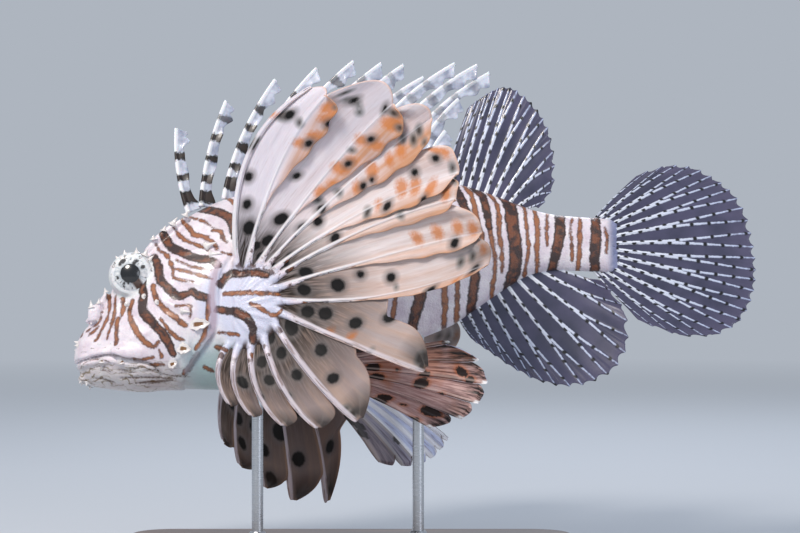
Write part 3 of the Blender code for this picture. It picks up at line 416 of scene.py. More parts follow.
def distance_to(places, lines, far=9.0, taper=0.45):
    """Signed distance from side-view places to the edge of the nearest band (half width, keys)."""
    nearest = np.full(len(places), far)
    for half, keys in lines:
        line, shares = traced(keys)
        edge = half * (1 - taper * np.abs(2 * shares - 1) ** 3)
        low, high = line.min(axis=0) - far, line.max(axis=0) + far
        close = np.flatnonzero(np.all((places > low) & (places < high), axis=1))
        for some in np.array_split(close, max(len(close) // 20000, 1)):
            apart = np.linalg.norm(places[some][:, None] - line[None], axis=2) - edge
            nearest[some] = np.minimum(nearest[some], apart.min(axis=1))
    return nearest


# Markings of the left flank, drawn in side view: (half width, places). Both flanks carry them.
WIDE_BARS = (
    (1.6, ((-107, 2), (-104.5, -4), (-103.5, -9.5), (-99, -14.5), (-96, -17.5), (-91, -17))),
    (1.5, ((-89.5, -15.5), (-87.5, -17), (-83, -19))),
    (1.7, ((-111.5, -9.5), (-110.5, -15.5), (-110.5, -24), (-107, -28), (-101, -34.5), (-98.5, -38.5),
           (-97, -42))),
    (1.7, ((-105, 16), (-102.5, 10.5), (-99.5, 6), (-96, 3.5), (-88.5, -0.5), (-80.5, -2.5), (-78, -4.5))),
    (1.9, ((-90, 26), (-85.5, 24.5), (-81.5, 22.5), (-77, 20.5), (-74, 18), (-72.5, 14.5), (-71.5, 9))),
    (1.8, ((23, 37.5), (25, 32.5), (27, 27.5), (30.5, 17), (33, 2), (32.5, -8), (31.5, -15.5),
           (30.5, -27.5))),
    (1.4, ((27, 41), (29.5, 38.5), (32.5, 35), (35.5, 31.5), (37.5, 26), (38.5, 18.5), (39, 15.5))),
    (2.6, ((41, 36), (44.5, 33), (48, 27), (49, 18.5), (50.5, 6), (50, -2.5), (48.5, -7.5), (47, -13.5))),
    (2.1, ((70.5, 25), (70.3, 16), (69.5, 10), (68, 4), (66.5, -2.5))),
    (2.0, ((86, 23.5), (86, 13.5), (85.5, 6), (85.5, -4))),
    (1.5, ((-77.5, -13), (-76, -11), (-74.5, -9), (-66, -8.5), (-61.5, -8.5), (-57, -9.5))),
    (1.6, ((-78, -24), (-74, -24.5), (-70, -25.5), (-66.5, -27), (-64.5, -29), (-63, -31.5), (-62.5, -38))),
    (2.2, ((-58, 42), (-53, 30), (-50, 18), (-48, 4), (-47, -8))),
    (2.3, ((-41, 45), (-36, 32), (-33, 16), (-31, 0), (-31.5, -16), (-34, -32), (-37, -47))),
    (2.4, ((-21, 46), (-16, 32), (-13, 16), (-11, 0), (-12, -16), (-15, -30), (-19, -45))),
    (2.3, ((0, 45), (5, 32), (8, 16), (10, 0), (9, -14), (6, -26), (3, -37))),
)
THIN_BARS = (
    (1.1, ((-106.5, -12.5), (-105.5, -17), (-103.5, -20.5), (-97.5, -26), (-94.5, -28.5), (-91.5, -30.5))),
    (0.7, ((-102.5, -27.5), (-100, -31), (-97.5, -33.5), (-94.5, -36), (-92.5, -36.5))),
    (1.0, ((-115.5, -18.5), (-116.5, -22), (-116, -27), (-113.5, -31.5), (-108.5, -37.5), (-105.5, -39),
           (-103.5, -37.5))),
    (0.8, ((-120, -17), (-119.5, -20.5), (-120, -24.5))),
    (0.4, ((-123.6, -15), (-123.3, -20), (-123.2, -24), (-124.5, -28.5), (-126.2, -35))),
    (0.65, ((-127.5, -7), (-127.5, -12), (-126.2, -18), (-126.2, -23.5), (-127.6, -27.5), (-131.5, -35))),
    (1.0, ((-121.5, -26), (-122, -31), (-122, -37.5))),
    (0.35, ((-129.5, -22), (-130.5, -26), (-134, -28.5), (-136, -30))),
    (0.35, ((-130.5, -28.5), (-132.5, -30.5), (-135, -32.5))),
    (0.4, ((-138, -29), (-138.5, -32))),
    (0.5, ((-114, -44.5), (-110.5, -44.5), (-105.5, -43.5))),
    (0.6, ((-107, -47), (-104, -46.5), (-101.5, -46.5))),
    (0.6, ((-103, -41), (-102, -43.5))),
    (0.5, ((-96, -22), (-90, -22.5), (-89.5, -25), (-90, -27.5))),
    (0.9, ((-86.5, -42), (-89.5, -46), (-93, -50))),
    (0.9, ((-82, -18.5), (-82, -23), (-82.5, -29), (-84, -35.5), (-87.5, -40.5))),
    (0.6, ((-106.5, 8), (-105, 5), (-101, 1.5), (-99.5, -1.5), (-98, -4.5), (-97.5, -9), (-92.5, -11),
           (-89, -11.5))),
    (0.6, ((-97.5, -5), (-91.5, -7), (-83.5, -9.5), (-80.5, -10.5))),
    (0.4, ((-96.5, -1), (-90, -4.5), (-81, -6.5))),
    (0.8, ((-99, 15.5), (-95, 10), (-88.5, 6), (-83, 3))),
    (1.0, ((-95.5, 19), (-93.5, 16.5), (-91.5, 13.5), (-89.5, 11), (-86, 10), (-80.5, 6), (-79, 3.5))),
    (0.5, ((-94, 22), (-88.5, 19), (-85.5, 17.5), (-81, 13.5))),
    (0.7, ((-81.5, 12.5), (-78, 12), (-76, 7.5), (-75, 6.5))),
    (0.9, ((-79, 33), (-75.5, 29.5), (-73, 26.5), (-70.5, 24.5))),
    (0.5, ((-76.5, 1.5), (-73, 0.5))),
    (0.9, ((-75.5, -17), (-69.5, -17), (-59.5, -17.5), (-51, -18))),
    (0.6, ((-77.5, -33.5), (-74, -34), (-69, -35))),
    (0.8, ((-63.5, -22), (-59.5, -24), (-56, -26), (-53, -27), (-50.5, -25))),
    (0.8, ((-79, -39), (-76, -40.5), (-74, -41.5))),
    (0.6, ((-84, -47), (-82, -48), (-80, -49))),
    (1.0, ((27.5, 36.5), (30.5, 32.5), (32.5, 27), (33, 22.5), (35, 14), (36.5, 8))),
    (0.9, ((39, 16.5), (40, 10), (41, 4), (41.5, -3), (40.5, -9.5), (40, -17))),
    (0.9, ((37, 36), (41.5, 29), (43, 24), (43.5, 12.5), (44.5, 5), (44.5, -4))),
    (0.7, ((50.5, 28.5), (54.5, 26), (55, 20), (56, 4.5), (54.5, -5))),
    (1.0, ((59, 27), (60, 18.5), (60, 4), (60, -3))),
    (0.6, ((65, 24.5), (64.5, 18), (64.5, 8))),
    (0.6, ((76, 21), (75, 17.5), (75, 10), (75.5, 2))),
    (0.9, ((79, 23), (79, 13), (78.5, 6), (78, -3))),
    (0.7, ((90, 16.5), (91, 11), (90.5, 5))),
    (1.2, ((19, -8), (19.5, -16.5), (19, -30))),
    (1.0, ((25, -8), (25, -15), (24.5, -27))),
    (0.9, ((-49, 43), (-44, 30), (-41, 15), (-39, -2), (-40, -20), (-43, -40), (-46, -54))),
    (0.6, ((-31, 44), (-26, 31), (-23.5, 15), (-22, -2), (-23, -20), (-26, -36), (-29, -50))),
    (0.9, ((-11, 44), (-6, 31), (-3, 15), (-1, -2), (-2, -18), (-5, -32), (-8, -43))),
    (0.7, ((9, 43), (14, 30), (17, 16), (18.5, 2), (19, -8))),
    (0.8, ((-67, 39), (-64, 31), (-62, 20), (-61, 9), (-60, -1))),
    (1.0, ((-63, -44), (-60, -49), (-56, -55))),
    (0.9, ((-54, -40), (-50, -47), (-47, -54))),
)
# Fine lines over the lips and under the jaw.
JAW_FOLD = ((-145, -45), (-138, -44.5), (-125, -43), (-115, -45.5), (-104, -47.5), (-90, -48), (-80, -47))
JAW_LINES = (
    (0.4, ((-138, -46.5), (-135.5, -44.5), (-132, -43.5), (-127.5, -44), (-124, -45.5))),
    (0.3, ((-129.5, -48), (-127, -48), (-124, -49))),
    (0.35, ((-122.5, -48), (-117, -48.5), (-113.5, -48), (-110, -47.5))),
    (0.35, ((-121, -49.5), (-113.5, -49.5))),
    (0.3, ((-110, -49), (-103, -49))),
    (0.4, ((-120.5, -51.5), (-112.5, -51.5), (-105.5, -51.5), (-96.5, -52))),
    (0.4, ((-132.5, -51), (-128, -51.5), (-125, -52.5), (-123, -53))),
    (0.5, ((-114, -53.5), (-106, -53), (-98.5, -52.5))),
    (0.3, ((-134, -47.5), (-130, -46.5), (-125, -47))),
    (0.3, ((-118, -46.9), (-112, -47), (-108, -48.2), (-100, -50.5), (-90, -51))),
    (0.25, ((-139, -39.6), (-137, -39.8), (-135, -40.2))),
    (0.25, ((-137.5, -37.4), (-135.5, -37.6))),
    (0.25, ((-133.5, -38.5), (-131.5, -38.8))),
    (0.25, ((-131, -36.8), (-129, -37))),
    (0.25, ((-127.5, -38.6), (-125.5, -38.9))),
    (0.25, ((-124.5, -37.2), (-122.5, -37.8))),
    (0.3, ((-122, -39.8), (-120, -40.2))),
)
# Dark flecks round the pupil, seen from the left: places beside its centre and above it, and radii.
EYE_FLECKS = (
    (-3.9, 5.1, 1.3), (-4.6, 3.9, 0.8), (3.9, 7.0, 0.6), (2.3, 5.0, 0.8), (1.6, 4.2, 0.7), (7.5, 5.1, 0.6),
    (5.1, 2.4, 0.7), (-7.5, 3.1, 0.6), (-7.3, 4.2, 0.5), (-5.5, -2.0, 0.6), (-7.1, -3.5, 0.4),
    (-2.8, -4.6, 0.5),
    (-2.9, -5.8, 0.4), (-0.8, -4.3, 0.3), (-2.8, 7.1, 0.5), (0.3, 8.3, 0.4), (8.6, 1.2, 0.4),
    (-8.6, -0.6, 0.35),
)
GILL_EDGE = (
    (-78.1, -2.7), (-79.8, -10.8), (-80.6, -18.7), (-79.8, -25.9), (-80.7, -33.5), (-85.2, -41.0),
    (-91.9, -48.9),
)

skin_points, skin_faces = one_skin(skin_forms(), SKIN_VOXEL)
skin_points = eased(skin_points, skin_faces, 7)
normals = point_normals(skin_points, skin_faces)
side_view = skin_points[:, [0, 2]]


def carved(points, lines, depth, width):
    """Points pushed in along soft grooves that follow side-view lines (or out, if depth is negative)."""
    apart = distance_to(points[:, [0, 2]], [(0.0, line) for line in lines])
    on_side = step(np.abs(normals[:, 1]), 0.12, 0.45)
    front = step(-points[:, 0], 138.5, 141.5)
    depth_here = depth * np.exp(-(apart / width) ** 2) * np.maximum(on_side, front)
    return points - normals * depth_here[:, None]


CHEEK_BONES = (
    ((-100, -26), (-93, -29.5), (-90, -34), (-92, -40), (-97, -45)),
    ((-96, -10), (-90, -12), (-86, -13)),
    ((-93, 2), (-88, 3), (-84, 3)),
    ((-121, -17), (-124, -24), (-129, -31)),
    ((-104, -29), (-108, -33), (-115, -35.5)),
)
HOLLOWS = (((-118, -22), (-113, -27), (-106, -31)), ((-97, -17), (-92, -21)), ((-126, -27), (-131, -33)))
JAW_FOLDS = [line for _, line in JAW_LINES[2:10]]
# The mouth's slit, the jaw's long folds, the raised edges of the cheek's bones, and the hollows by them.
for lines, depth, width in (
    ([MOUTH_LINE[1:]], 1.5, 0.62), (JAW_FOLDS, 0.3, 0.6), (CHEEK_BONES, -0.55, 1.1), (HOLLOWS, 0.5, 2.4),
):
    skin_points = carved(skin_points, lines, depth, width)
# Ribs of the fin rays under the skin of the pectoral base.
RIB_ANGLES = np.radians([76, 56, 36, 17, -2, -21, -42, -64, -86])
RAY_RIBS = [
    (PAD_CENTRE[[0, 2]] - (7, 0), PAD_CENTRE[[0, 2]] + (16.5 * math.cos(angle), 16.5 * math.sin(angle)))
    for angle in RIB_ANGLES
]
PAD_RIBS = [
    (1.2, (tuple(PAD_CENTRE[[0, 2]]), *[tuple(ray[k, [0, 2]]) for k in (0, 8, 16)]))
    for ray in LEFT_RAYS
]
over_pad = skin_points[:, 0] > PAD_CENTRE[0] - 4
skin_points = np.where(over_pad[:, None], carved(skin_points, RAY_RIBS, -0.5, 0.9), skin_points)
normals = point_normals(skin_points, skin_faces)


def fleck_away(points):
    """Distance in the side view to the edge of the nearest of the eye's flecks, for one side's points."""
    side = np.where(np.asarray(points)[:, 1] > 0, -1, 1)[:, None] * (0, 1, 0) + (1, 0, 1)
    level = in_room(points * side) * 1000
    pupil = in_room((EYE_CENTRE + EYE_GAZE * EYE_RADIUS)[None])[0] * 1000
    apart = [np.hypot(level[:, 0] - pupil[0] - x, level[:, 2] - pupil[2] - z) - r for x, z, r in EYE_FLECKS]
    return np.minimum(np.min(apart, axis=0), 9.0)


def from_fingers(points):
    """Distance to the middle line of the nearest finger of the pectoral bases."""
    left = points * (1, 0, 1) - np.abs(points) * (0, 1, 0)
    found = np.full(len(points), 99.0)
    near = np.nonzero(np.linalg.norm(points[:, [0, 2]] - PAD_CENTRE[[0, 2]], axis=1) < 40)[0]
    for ray in LEFT_RAYS:
        for place in ray[np.linalg.norm(ray - ray[0], axis=1) < FINGER_LENGTH]:
            found[near] = np.minimum(found[near], np.linalg.norm(left[near] - place, axis=1))
    return found


from_pad = np.linalg.norm(side_view - PAD_CENTRE[[0, 2]], axis=1)
x, out, height = skin_points[:, 0], np.abs(skin_points[:, 1]), skin_points[:, 2]
mirrored_eye = EYE_CENTRE * (1, -1, 1)
skin_marks = {
    "wide_bar": distance_to(side_view, WIDE_BARS, taper=0.25),
    "thin_bar": distance_to(side_view, THIN_BARS, taper=0.3),
    "jaw_line": distance_to(side_view, JAW_LINES),
    "gill_edge": distance_to(side_view, [(1.7, GILL_EDGE)], taper=0.35),
    "mouth_slit_shade": distance_to(side_view, [(0.35, MOUTH_LINE[1:])]),
    "eye_away": np.linalg.norm(np.stack([x, out, height], axis=1) - mirrored_eye, axis=1),
    "fleck": fleck_away(skin_points),
    "throat": (step(-height, 30, 46) * step(x, -102, -84) * (1 - step(x, -62, -48))
               * (1 - step(out, 22, 24.5))),
    "chin": step(-height, 43, 48) * (1 - step(x, -104, -88)),
    "jaw_level": height - spline(JAW_FOLD, x),
    "web_of_base": step(from_pad, 12.5, 16.5) * (1 - step(from_pad, 21, 26)) * step(x, -74, -68)
    * step(distance_to(side_view, PAD_RIBS, taper=0), 0.0, 0.9) * step(out, 16, 18.5),
    "pad": (1 - step(from_pad, 17, 23)) * step(out, 21, 23.5),
    "finger": step(-from_fingers(skin_points), -3.4, -2.4) * step(from_pad, 15.5, 19),
    "tail_end": step(x, 90.5, 94.5),
    "head": 1 - step(x + 0.25 * np.minimum(height, 0), -76, -72),
}


def dress(made, finish, replaces=()):
    """An object given its finish and its place in the model."""
    made.data.materials.append(finish)
    made.data.shade_smooth()
    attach(made, "root")
    if replaces:
        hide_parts(*replaces)


def piece(name, points, faces, finish, slot, replaces=(), marks=None):
    """A finished piece from places in the fish's frame, with its marks stored on its points."""
    made = plain_object(name, in_room(points), faces)
    for key, values in (marks or {}).items():
        kind, field = ("FLOAT_VECTOR", "vector") if np.ndim(values) == 2 else ("FLOAT", "value")
        layer = made.data.attributes.new(key, kind, "POINT")
        layer.data.foreach_set(field, np.ravel(values).astype(np.float32))
    dress(made, finish, replaces)


def colour(code):
    """An sRGB hex colour as linear values."""
    parts = [int(code[k:k + 2], 16) / 255 for k in (1, 3, 5)]
    return (*[c / 12.92 if c <= 0.04045 else ((c + 0.055) / 1.055) ** 2.4 for c in parts], 1.0)


def new_finish(name):
    """A material, its nodes and its surface shader. The functions below add to the nodes named tree."""
    made = bpy.data.materials.new(name)
    made.use_nodes = True
    return made, made.node_tree, made.node_tree.nodes["Principled BSDF"]


def connect(node, inputs):
    """Sets a node's inputs, by socket name or number, to values or to other nodes' outputs."""
    for key, value in inputs.items():
        if isinstance(value, bpy.types.NodeSocket):
            tree.links.new(value, node.inputs[key])
        else:
            node.inputs[key].default_value = value


def add(kind, inputs=None, out=0, **settings):
    """One node with its settings and links: one of its outputs."""
    node = tree.nodes.new("ShaderNode" + kind)
    for key, value in settings.items():
        setattr(node, key, value)
    connect(node, inputs or {})
    return node.outputs[out]


def read(mark):
    """A mark stored on the points."""
    return add("Attribute", attribute_name=mark, out=2)


def calc(operation, *values):
    return add("Math", dict(enumerate(values)), operation=operation)


def ramp(value, start=0.0, end=1.0, low=0.0, high=1.0):
    """low where the value is at start, high where it is at end, and even between them."""
    return add("MapRange", dict(enumerate((value, start, end, low, high))))


def frayed(away, fine, low, high):
    """A distance made uneven by noise, by an amount from low to high in millimetres."""
    return calc("ADD", away, ramp(fine, 0.3, 0.7, low, high))


def mix(share, under, over):
    """Two paints, each a hex colour or a node's output, mixed by the second one's share."""
    paints = [colour(paint) if isinstance(paint, str) else paint for paint in (under, over)]
    return add("MixRGB", dict(enumerate((share, *paints))))


def noise(place, scale, detail, roughness=0.5):
    return add("TexNoise", {"Vector": place, "Scale": scale, "Detail": detail, "Roughness": roughness})


def bump(height, strength, depth):
    """Fine relief: its depth in metres."""
    return add("Bump", {"Strength": strength, "Distance": depth, "Height": height})


def in_units(*scale):
    """Places on the model, so many units to the metre along X, Y and Z."""
    return add("Mapping", {"Vector": add("TexCoord", out=3), "Scale": scale})


# Painted resin skin under a satin lacquer: mottled cream white with soft-edged brown bars, a fine relief
# of scales about 1.3 mm long, and a wet-looking sheen.
skin_finish, tree, shader = new_finish("painted_resin_skin_satin_lacquer")
in_mm = in_units(1000, 1000, 1000)
ragged = noise(in_mm, 1.3, 1.0)
burnt = noise(in_mm, 0.2, 3.0, 0.6)
grain = noise(in_mm, 1.1, 5.0, 0.65)
shift = ramp(noise(in_mm, 0.3, 2.0), 0.3, 0.7, -0.62, 0.2)
fray = ramp(ragged, 0.3, 0.7, -0.22, 0.12)
belly, chin = read("throat"), read("chin")
base = mix(ramp(noise(in_mm, 0.14, 4.0, 0.6), 0.35, 0.68), "#EFE8EC", "#D6C8D3")
base = mix(ramp(grain, 0.5, 0.8, high=0.4), base, "#BBABBC")
# Painted shade: the throat and the lower belly behind it, turned from the light, take a darker bluish teal.
base = mix(calc("MULTIPLY", belly, 0.8), base, "#A9CCCB")
base = mix(calc("MULTIPLY", chin, 0.4), base, "#AFAD9E")
# The lower jaw's fine wavy lines run along it, about two millimetres apart.
phase = calc("ADD", read("jaw_level"), ramp(noise(in_mm, 0.16, 3.0), low=-4.0, high=4.0))
lines = calc("ADD", calc("SINE", calc("MULTIPLY", phase, 2.9)), ramp(burnt, 0.4, 0.6, -0.5, 0.15))
base = mix(calc("MULTIPLY", ramp(lines, 0.45, 1.0, high=0.8), chin), base, "#75623E")
# Painted shade: the fleshy base of the pectoral fin is tinted a darker bluish lavender.
base = mix(calc("MULTIPLY", read("pad"), 0.75), base, "#C6CCE2")
base = mix(read("web_of_base"), base, "#38241C")
# The fingers of the fin's base are white with brown breaks, and the stem's end takes the tail's blue.
base = mix(calc("MULTIPLY", read("finger"), ramp(burnt, 0.52, 0.6, high=0.85)), base, "#4A2A1C")
base = mix(read("tail_end"), base, "#8F93B4")
# Orbit: silvery skin that carries on the eye's dark flecks, under the bars that cross it.
base = mix(ramp(read("eye_away"), 12.4, 10.6), base, mix(grain, "#FAFAFA", "#C3C6C8"))
base = mix(ramp(frayed(read("fleck"), ragged, -0.5, 0.5), 0.25, -0.45, high=0.9), base, "#2A1812")


def bar_layer(attribute, offset, under, rim, core, soft, strength, rim_width=-0.3, less_warm=0.4):
    """One kind of bar painted over the colour so far: darker rim, warmer mottled core."""
    away = calc("ADD", read(attribute), offset)
    cover = ramp(away, soft, -soft, 0.0, strength)
    inside = ramp(away, rim_width, rim_width - 0.6)
    warm = calc("MULTIPLY", inside, ramp(burnt, less_warm, less_warm + 0.12))
    warm = calc("MULTIPLY", warm, ramp(grain, 0.35, 0.65, 0.7))
    return mix(cover, under, mix(warm, rim, core))


both = calc("ADD", shift, fray)
base = bar_layer("jaw_line", calc("ADD", fray, 0.1), base, "#4E3420", "#7A5A34", 0.22, 0.85)
base = bar_layer("thin_bar", both, base, "#54290F", "#A3612C", 0.32, 0.95, -0.15, 0.34)
base = bar_layer("wide_bar", calc("SUBTRACT", both, 0.15), base, "#2E150E", "#7E4522", 0.3, 0.98, -0.5, 0.45)
# The gill cover's edge in mauve grey, bluish where it crosses the throat's painted shade.
base = mix(ramp(read("gill_edge"), 0.6, -0.8, high=0.75), base, mix(belly, "#AB95A4", "#A3B7C2"))
# Painted shade: a dark line along the mouth's slit, where the lips close.
base = mix(ramp(read("mouth_slit_shade"), 0.15, -0.3, high=0.8), base, "#4A2E2A")
scales = add("TexVoronoi", {"Vector": in_mm, "Scale": 0.72}, feature="DISTANCE_TO_EDGE")
relief = calc("MULTIPLY", ramp(scales, 0.0, 0.22), ramp(read("head"), low=1.0, high=0.35))
connect(shader, {
    "Base Color": base, "Normal": bump(calc("ADD", relief, grain), 0.35, 0.0003),
    "Roughness": ramp(grain, 0.3, 0.7, 0.34, 0.52), "IOR": 1.5,
    "Subsurface Weight": 0.12, "Subsurface Radius": (1.0, 0.5, 0.35), "Subsurface Scale": 0.0012,
    "Coat Weight": 0.22, "Coat Roughness": 0.16,
})

piece("body_skin", skin_points, skin_faces.tolist(), skin_finish, "skin",
      ("head", "lower_jaw", "trunk", "tail_stem"), skin_marks)


# Eyes.
# Cast acrylic eyeballs set in the orbits: a black pupil under a low clear dome, and a silvery iris and
# white with short dark dashes that run out from the pupil. The dome and the lacquer make them shine.
PUPIL_RADIUS = 4.25
CORNEA_RISE = 0.45


def dome(angle):
    """The clear dome over the pupil, as a share of the eye's radius."""
    edge = math.asin(4.2 / EYE_RADIUS)
    return CORNEA_RISE / EYE_RADIUS * float(1 - step(angle, edge * 0.8, edge * 1.5))


eye_points, eye_faces = ball(EYE_CENTRE, [EYE_RADIUS] * 3, 128, 96, EYE_GAZE, dome)
from_centre = unit(eye_points - EYE_CENTRE)
pole_side = unit(np.cross(EYE_GAZE, (0, 0, 1)))
pole_up = np.cross(pole_side, EYE_GAZE)
across, above = from_centre @ pole_side, from_centre @ pole_up
polar = np.arccos(np.clip(from_centre @ EYE_GAZE, -1, 1)) * EYE_RADIUS
polar = polar * (1 + 0.09 * np.clip(above / np.maximum(np.hypot(across, above), 1e-6), 0, 1) ** 2)
turn = np.arctan2(above, across)
eye_band = ((-117.5, -8.5), (-114.8, -9.5), (-112.6, -12.0), (-111.3, -16.0))
eye_marks = {
    "polar": polar,
    "spoke": np.stack([np.cos(turn) * 3, np.sin(turn) * 3, polar * 0.16], axis=1),
    "band": distance_to(eye_points[:, [0, 2]], [(1.9, eye_band)], taper=0.1),
    "fleck": fleck_away(eye_points) - 0.15,
}

eye_finish, tree, shader = new_finish("cast_acrylic_eye_gloss")
from_pupil = read("polar")
spoke = add("Attribute", attribute_name="spoke", out=1)
fine = noise(spoke, 2.2, 4.0, 0.65)
dashes = add("TexVoronoi", {"Vector": spoke, "Scale": 1.55, "Randomness": 0.9})
iris = mix(ramp(fine, 0.35, 0.7), "#F8F8F6", "#AEB9C2")
iris = mix(ramp(dashes, 0.2, 0.14, high=0.8), iris, "#4A3A30")
iris = mix(ramp(from_pupil, 5.6, 4.5, high=0.5), iris, "#8E969C")
iris = mix(ramp(frayed(read("fleck"), fine, -0.5, 0.5), 0.25, -0.25, high=0.95), iris, "#1E120D")
iris = mix(ramp(read("band"), 0.4, -0.5, high=0.92), iris, "#4A2A12")
pupil = ramp(frayed(from_pupil, fine, -0.25, 0.25), PUPIL_RADIUS + 0.12, PUPIL_RADIUS - 0.12)
connect(shader, {
    "Base Color": mix(pupil, iris, "#05060B"), "Roughness": 0.25, "IOR": 1.49,
    "Coat Weight": 1.0, "Coat Roughness": 0.03, "Coat IOR": 1.49,
})

piece("eye_left_ball", eye_points, eye_faces, eye_finish, "eye", ("eye_left",), eye_marks)
piece("eye_right_ball", *mirrored(eye_points, eye_faces), eye_finish, "eye", ("eye_right",), eye_marks)


# Spines and flaps of the head.
# Small white spines of cast resin stand over the orbits, nostrils, nape and gill cover, and leaf-shaped
# flaps of skin hang along the edge of the cheek, each with a dark middle.
THORNS = (
    # (root X, distance out from the mid plane, height; direction; length; radius)
    ((-119.6, -11.5, 2.8), (-0.3, -0.3, 1), 2.4, 0.85), ((-114.6, -12.5, 3.4), (-0.1, -0.5, 1), 2.6, 0.8),
    ((-111.0, -11.8, 2.6), (0.4, -0.4, 1), 3.2, 0.95), ((-109.0, -11.0, 0.6), (0.7, -0.4, 0.9), 2.6, 0.9),
    ((-122.6, -12.0, 0.8), (-0.8, -0.4, 0.8), 2.0, 0.8), ((-107.8, -8.4, 10.4), (-0.1, -0.35, 1), 2.0, 0.9),
    ((-103.4, -7.6, 14.4), (0.2, -0.3, 1), 2.4, 1.0), ((-99.6, -8.2, 17.0), (0.5, -0.35, 1), 3.8, 1.1),
    ((-94.0, -9.0, 20.8), (0.5, -0.4, 1), 2.6, 1.0), ((-134.0, -8.4, -20.0), (-0.25, -0.25, 1), 3.4, 0.9),
    ((-130.9, -8.8, -18.4), (-0.05, -0.2, 1), 2.6, 0.7), ((-133.0, -8.0, -20.5), (0.2, -0.4, 1), 2.0, 0.7),
    ((-127.8, -9.5, -13.5), (-0.4, -0.3, 1), 2.4, 0.7),
    ((-83.5, -20.2, 4.6), (0.9, -0.55, 0.35), 5.0, 1.15), ((-81.5, -21.0, 0.8), (1, -0.5, 0.1), 4.6, 1.05),
    ((-93.0, -22.8, -24.4), (0.9, -0.5, -0.15), 3.6, 0.9), ((-110, -18.0, -17), (0.2, -1, 0.2), 1.6, 0.7),
    ((-104, -20.8, -20), (0.2, -1, 0.2), 1.7, 0.7), ((-117.5, -18.3, -20.5), (0, -1, -0.2), 1.4, 0.6),
    ((-140.2, -2.5, -34.6), (-1, -0.2, 0.3), 2.4, 0.8), ((-140.0, -5.2, -36.4), (-1, -0.4, 0.1), 1.8, 0.7),
    ((-140.6, -1.5, -37.6), (-1, -0.1, 0), 1.6, 0.7), ((-138.0, -3.5, -35.0), (-0.9, -0.5, 0.2), 1.6, 0.6),
    ((-138.0, -2.5, -51.0), (-0.9, -0.3, -0.9), 2.2, 0.8),
    ((-135.4, -4.8, -52.6), (-0.5, -0.3, -1), 1.6, 0.7),
)


def thorn(root, direction, length, radius):
    """A curved, tapered spine on a swollen foot."""
    t = np.linspace(0, 1, 12)
    bend = np.array([0.14, 0, -0.05]) * length
    path = np.asarray(root, float) + unit(direction) * (t * length)[:, None] + bend * (t**2)[:, None]
    return tube(path, radius * (1.25 * (1 - t) ** 1.3 + 0.13) * (1 + 0.5 * np.exp(-(t / 0.12) ** 2)), 12)


def slab(grid, half):
    """A sheet of points (rows, columns) given a half thickness at each: one closed form."""
    rows, columns, _ = grid.shape
    normal = unit(np.cross(np.gradient(grid, axis=0), np.gradient(grid, axis=1)))
    offset = normal * np.broadcast_to(np.asarray(half, float), (rows, columns))[..., None]
    points = np.concatenate([(grid + offset).reshape(-1, 3), (grid - offset).reshape(-1, 3)])
    here = np.arange(rows * columns).reshape(rows, columns)
    front = np.stack([here[:-1, :-1], here[1:, :-1], here[1:, 1:], here[:-1, 1:]], -1).reshape(-1, 4)
    back = front[:, ::-1] + rows * columns
    rim = np.concatenate([here[0], here[1:, -1], here[-1, -2::-1], here[-2:0:-1, 0]])
    ahead = np.roll(rim, -1)
    walls = np.stack([rim, ahead, ahead + rows * columns, rim + rows * columns], -1)
    return outward(points, np.concatenate([front, back, walls]).tolist())


def on_both_faces(marks, shape):
    """Marks for a slab's points: each spread over the sheet, and given to both its faces."""
    spread = {key: np.broadcast_to(np.asarray(some, float), shape) for key, some in marks.items()}
    return {key: np.tile(some.ravel(), 2) for key, some in spread.items()}


def merged(made):
    """Forms and their marks as one: points, faces and marks."""
    points, faces = joined([form for form, _ in made])
    return points, faces, {key: np.concatenate([marks[key] for _, marks in made]) for key in made[0][1]}


def leaf(place, height, length, breadth, tilt_deg, stand_off):
    """A cupped leaf of skin on the cheek, its stalk set in the skin, and how far each point is in."""
    u, v = np.meshgrid(np.linspace(0, 1, 26), np.linspace(-1, 1, 17), indexing="ij")
    width = breadth / 2 * np.sin(np.pi * u**0.8) ** 0.75 * (1 + 0.14 * np.sin(u * 19) * np.abs(v)) + 0.05
    tilt = math.radians(tilt_deg)
    along, up = (u - 0.35) * length, v * width
    out = half_width_at(place, height) - 0.4 + stand_off * np.sin(np.pi * u / 1.6) - 0.7 * (1 - v**2) * u
    x = place + along * math.cos(tilt) - up * math.sin(tilt)
    z = height + along * math.sin(tilt) + up * math.cos(tilt)
    inside = np.clip(1 - np.maximum(np.abs(v) / 0.75, np.abs(u - 0.5) / 0.42), 0, 1)
    return slab(np.stack([x, -out, z], -1), LEAF_HALF), on_both_faces({"inside": inside}, inside.shape)


LEAVES = (
    (-87.5, -30.3, 9.6, 5.0, 4, 2.6), (-93.5, -40.2, 6.4, 4.6, -8, 2.2), (-98.0, -46.6, 4.0, 3.6, 20, 1.8),
    (-127.5, -44.2, 3.4, 2.2, 200, 1.6), (-119.0, -45.0, 2.8, 2.0, 215, 1.4),
)
LEAF_HALF = 0.24
tabs = [leaf(*one) for one in LEAVES]
for form in (thorn(*one) for one in THORNS):
    tabs.append((form, {"inside": np.zeros(len(form[0]))}))
tabs = [tab for form, marks in tabs for tab in ((form, marks), (mirrored(*form), marks))]
tab_finish, tree, shader = new_finish("cast_resin_spines_gloss_white")
speck = noise(in_units(1000, 1000, 1000), 1.4, 3.0)
pale, brown = mix(speck, "#F4F1EE", "#CFC6C4"), mix(speck, "#3A2214", "#9A6A3A")
connect(shader, {
    "Base Color": mix(ramp(read("inside"), 0.4, 0.58), pale, brown), "Roughness": 0.32, "Coat Weight": 0.4,
})
tab_points, tab_faces, tab_marks = merged(tabs)
piece("head_spines_and_flaps", tab_points, tab_faces, tab_finish, "skin", marks=tab_marks)


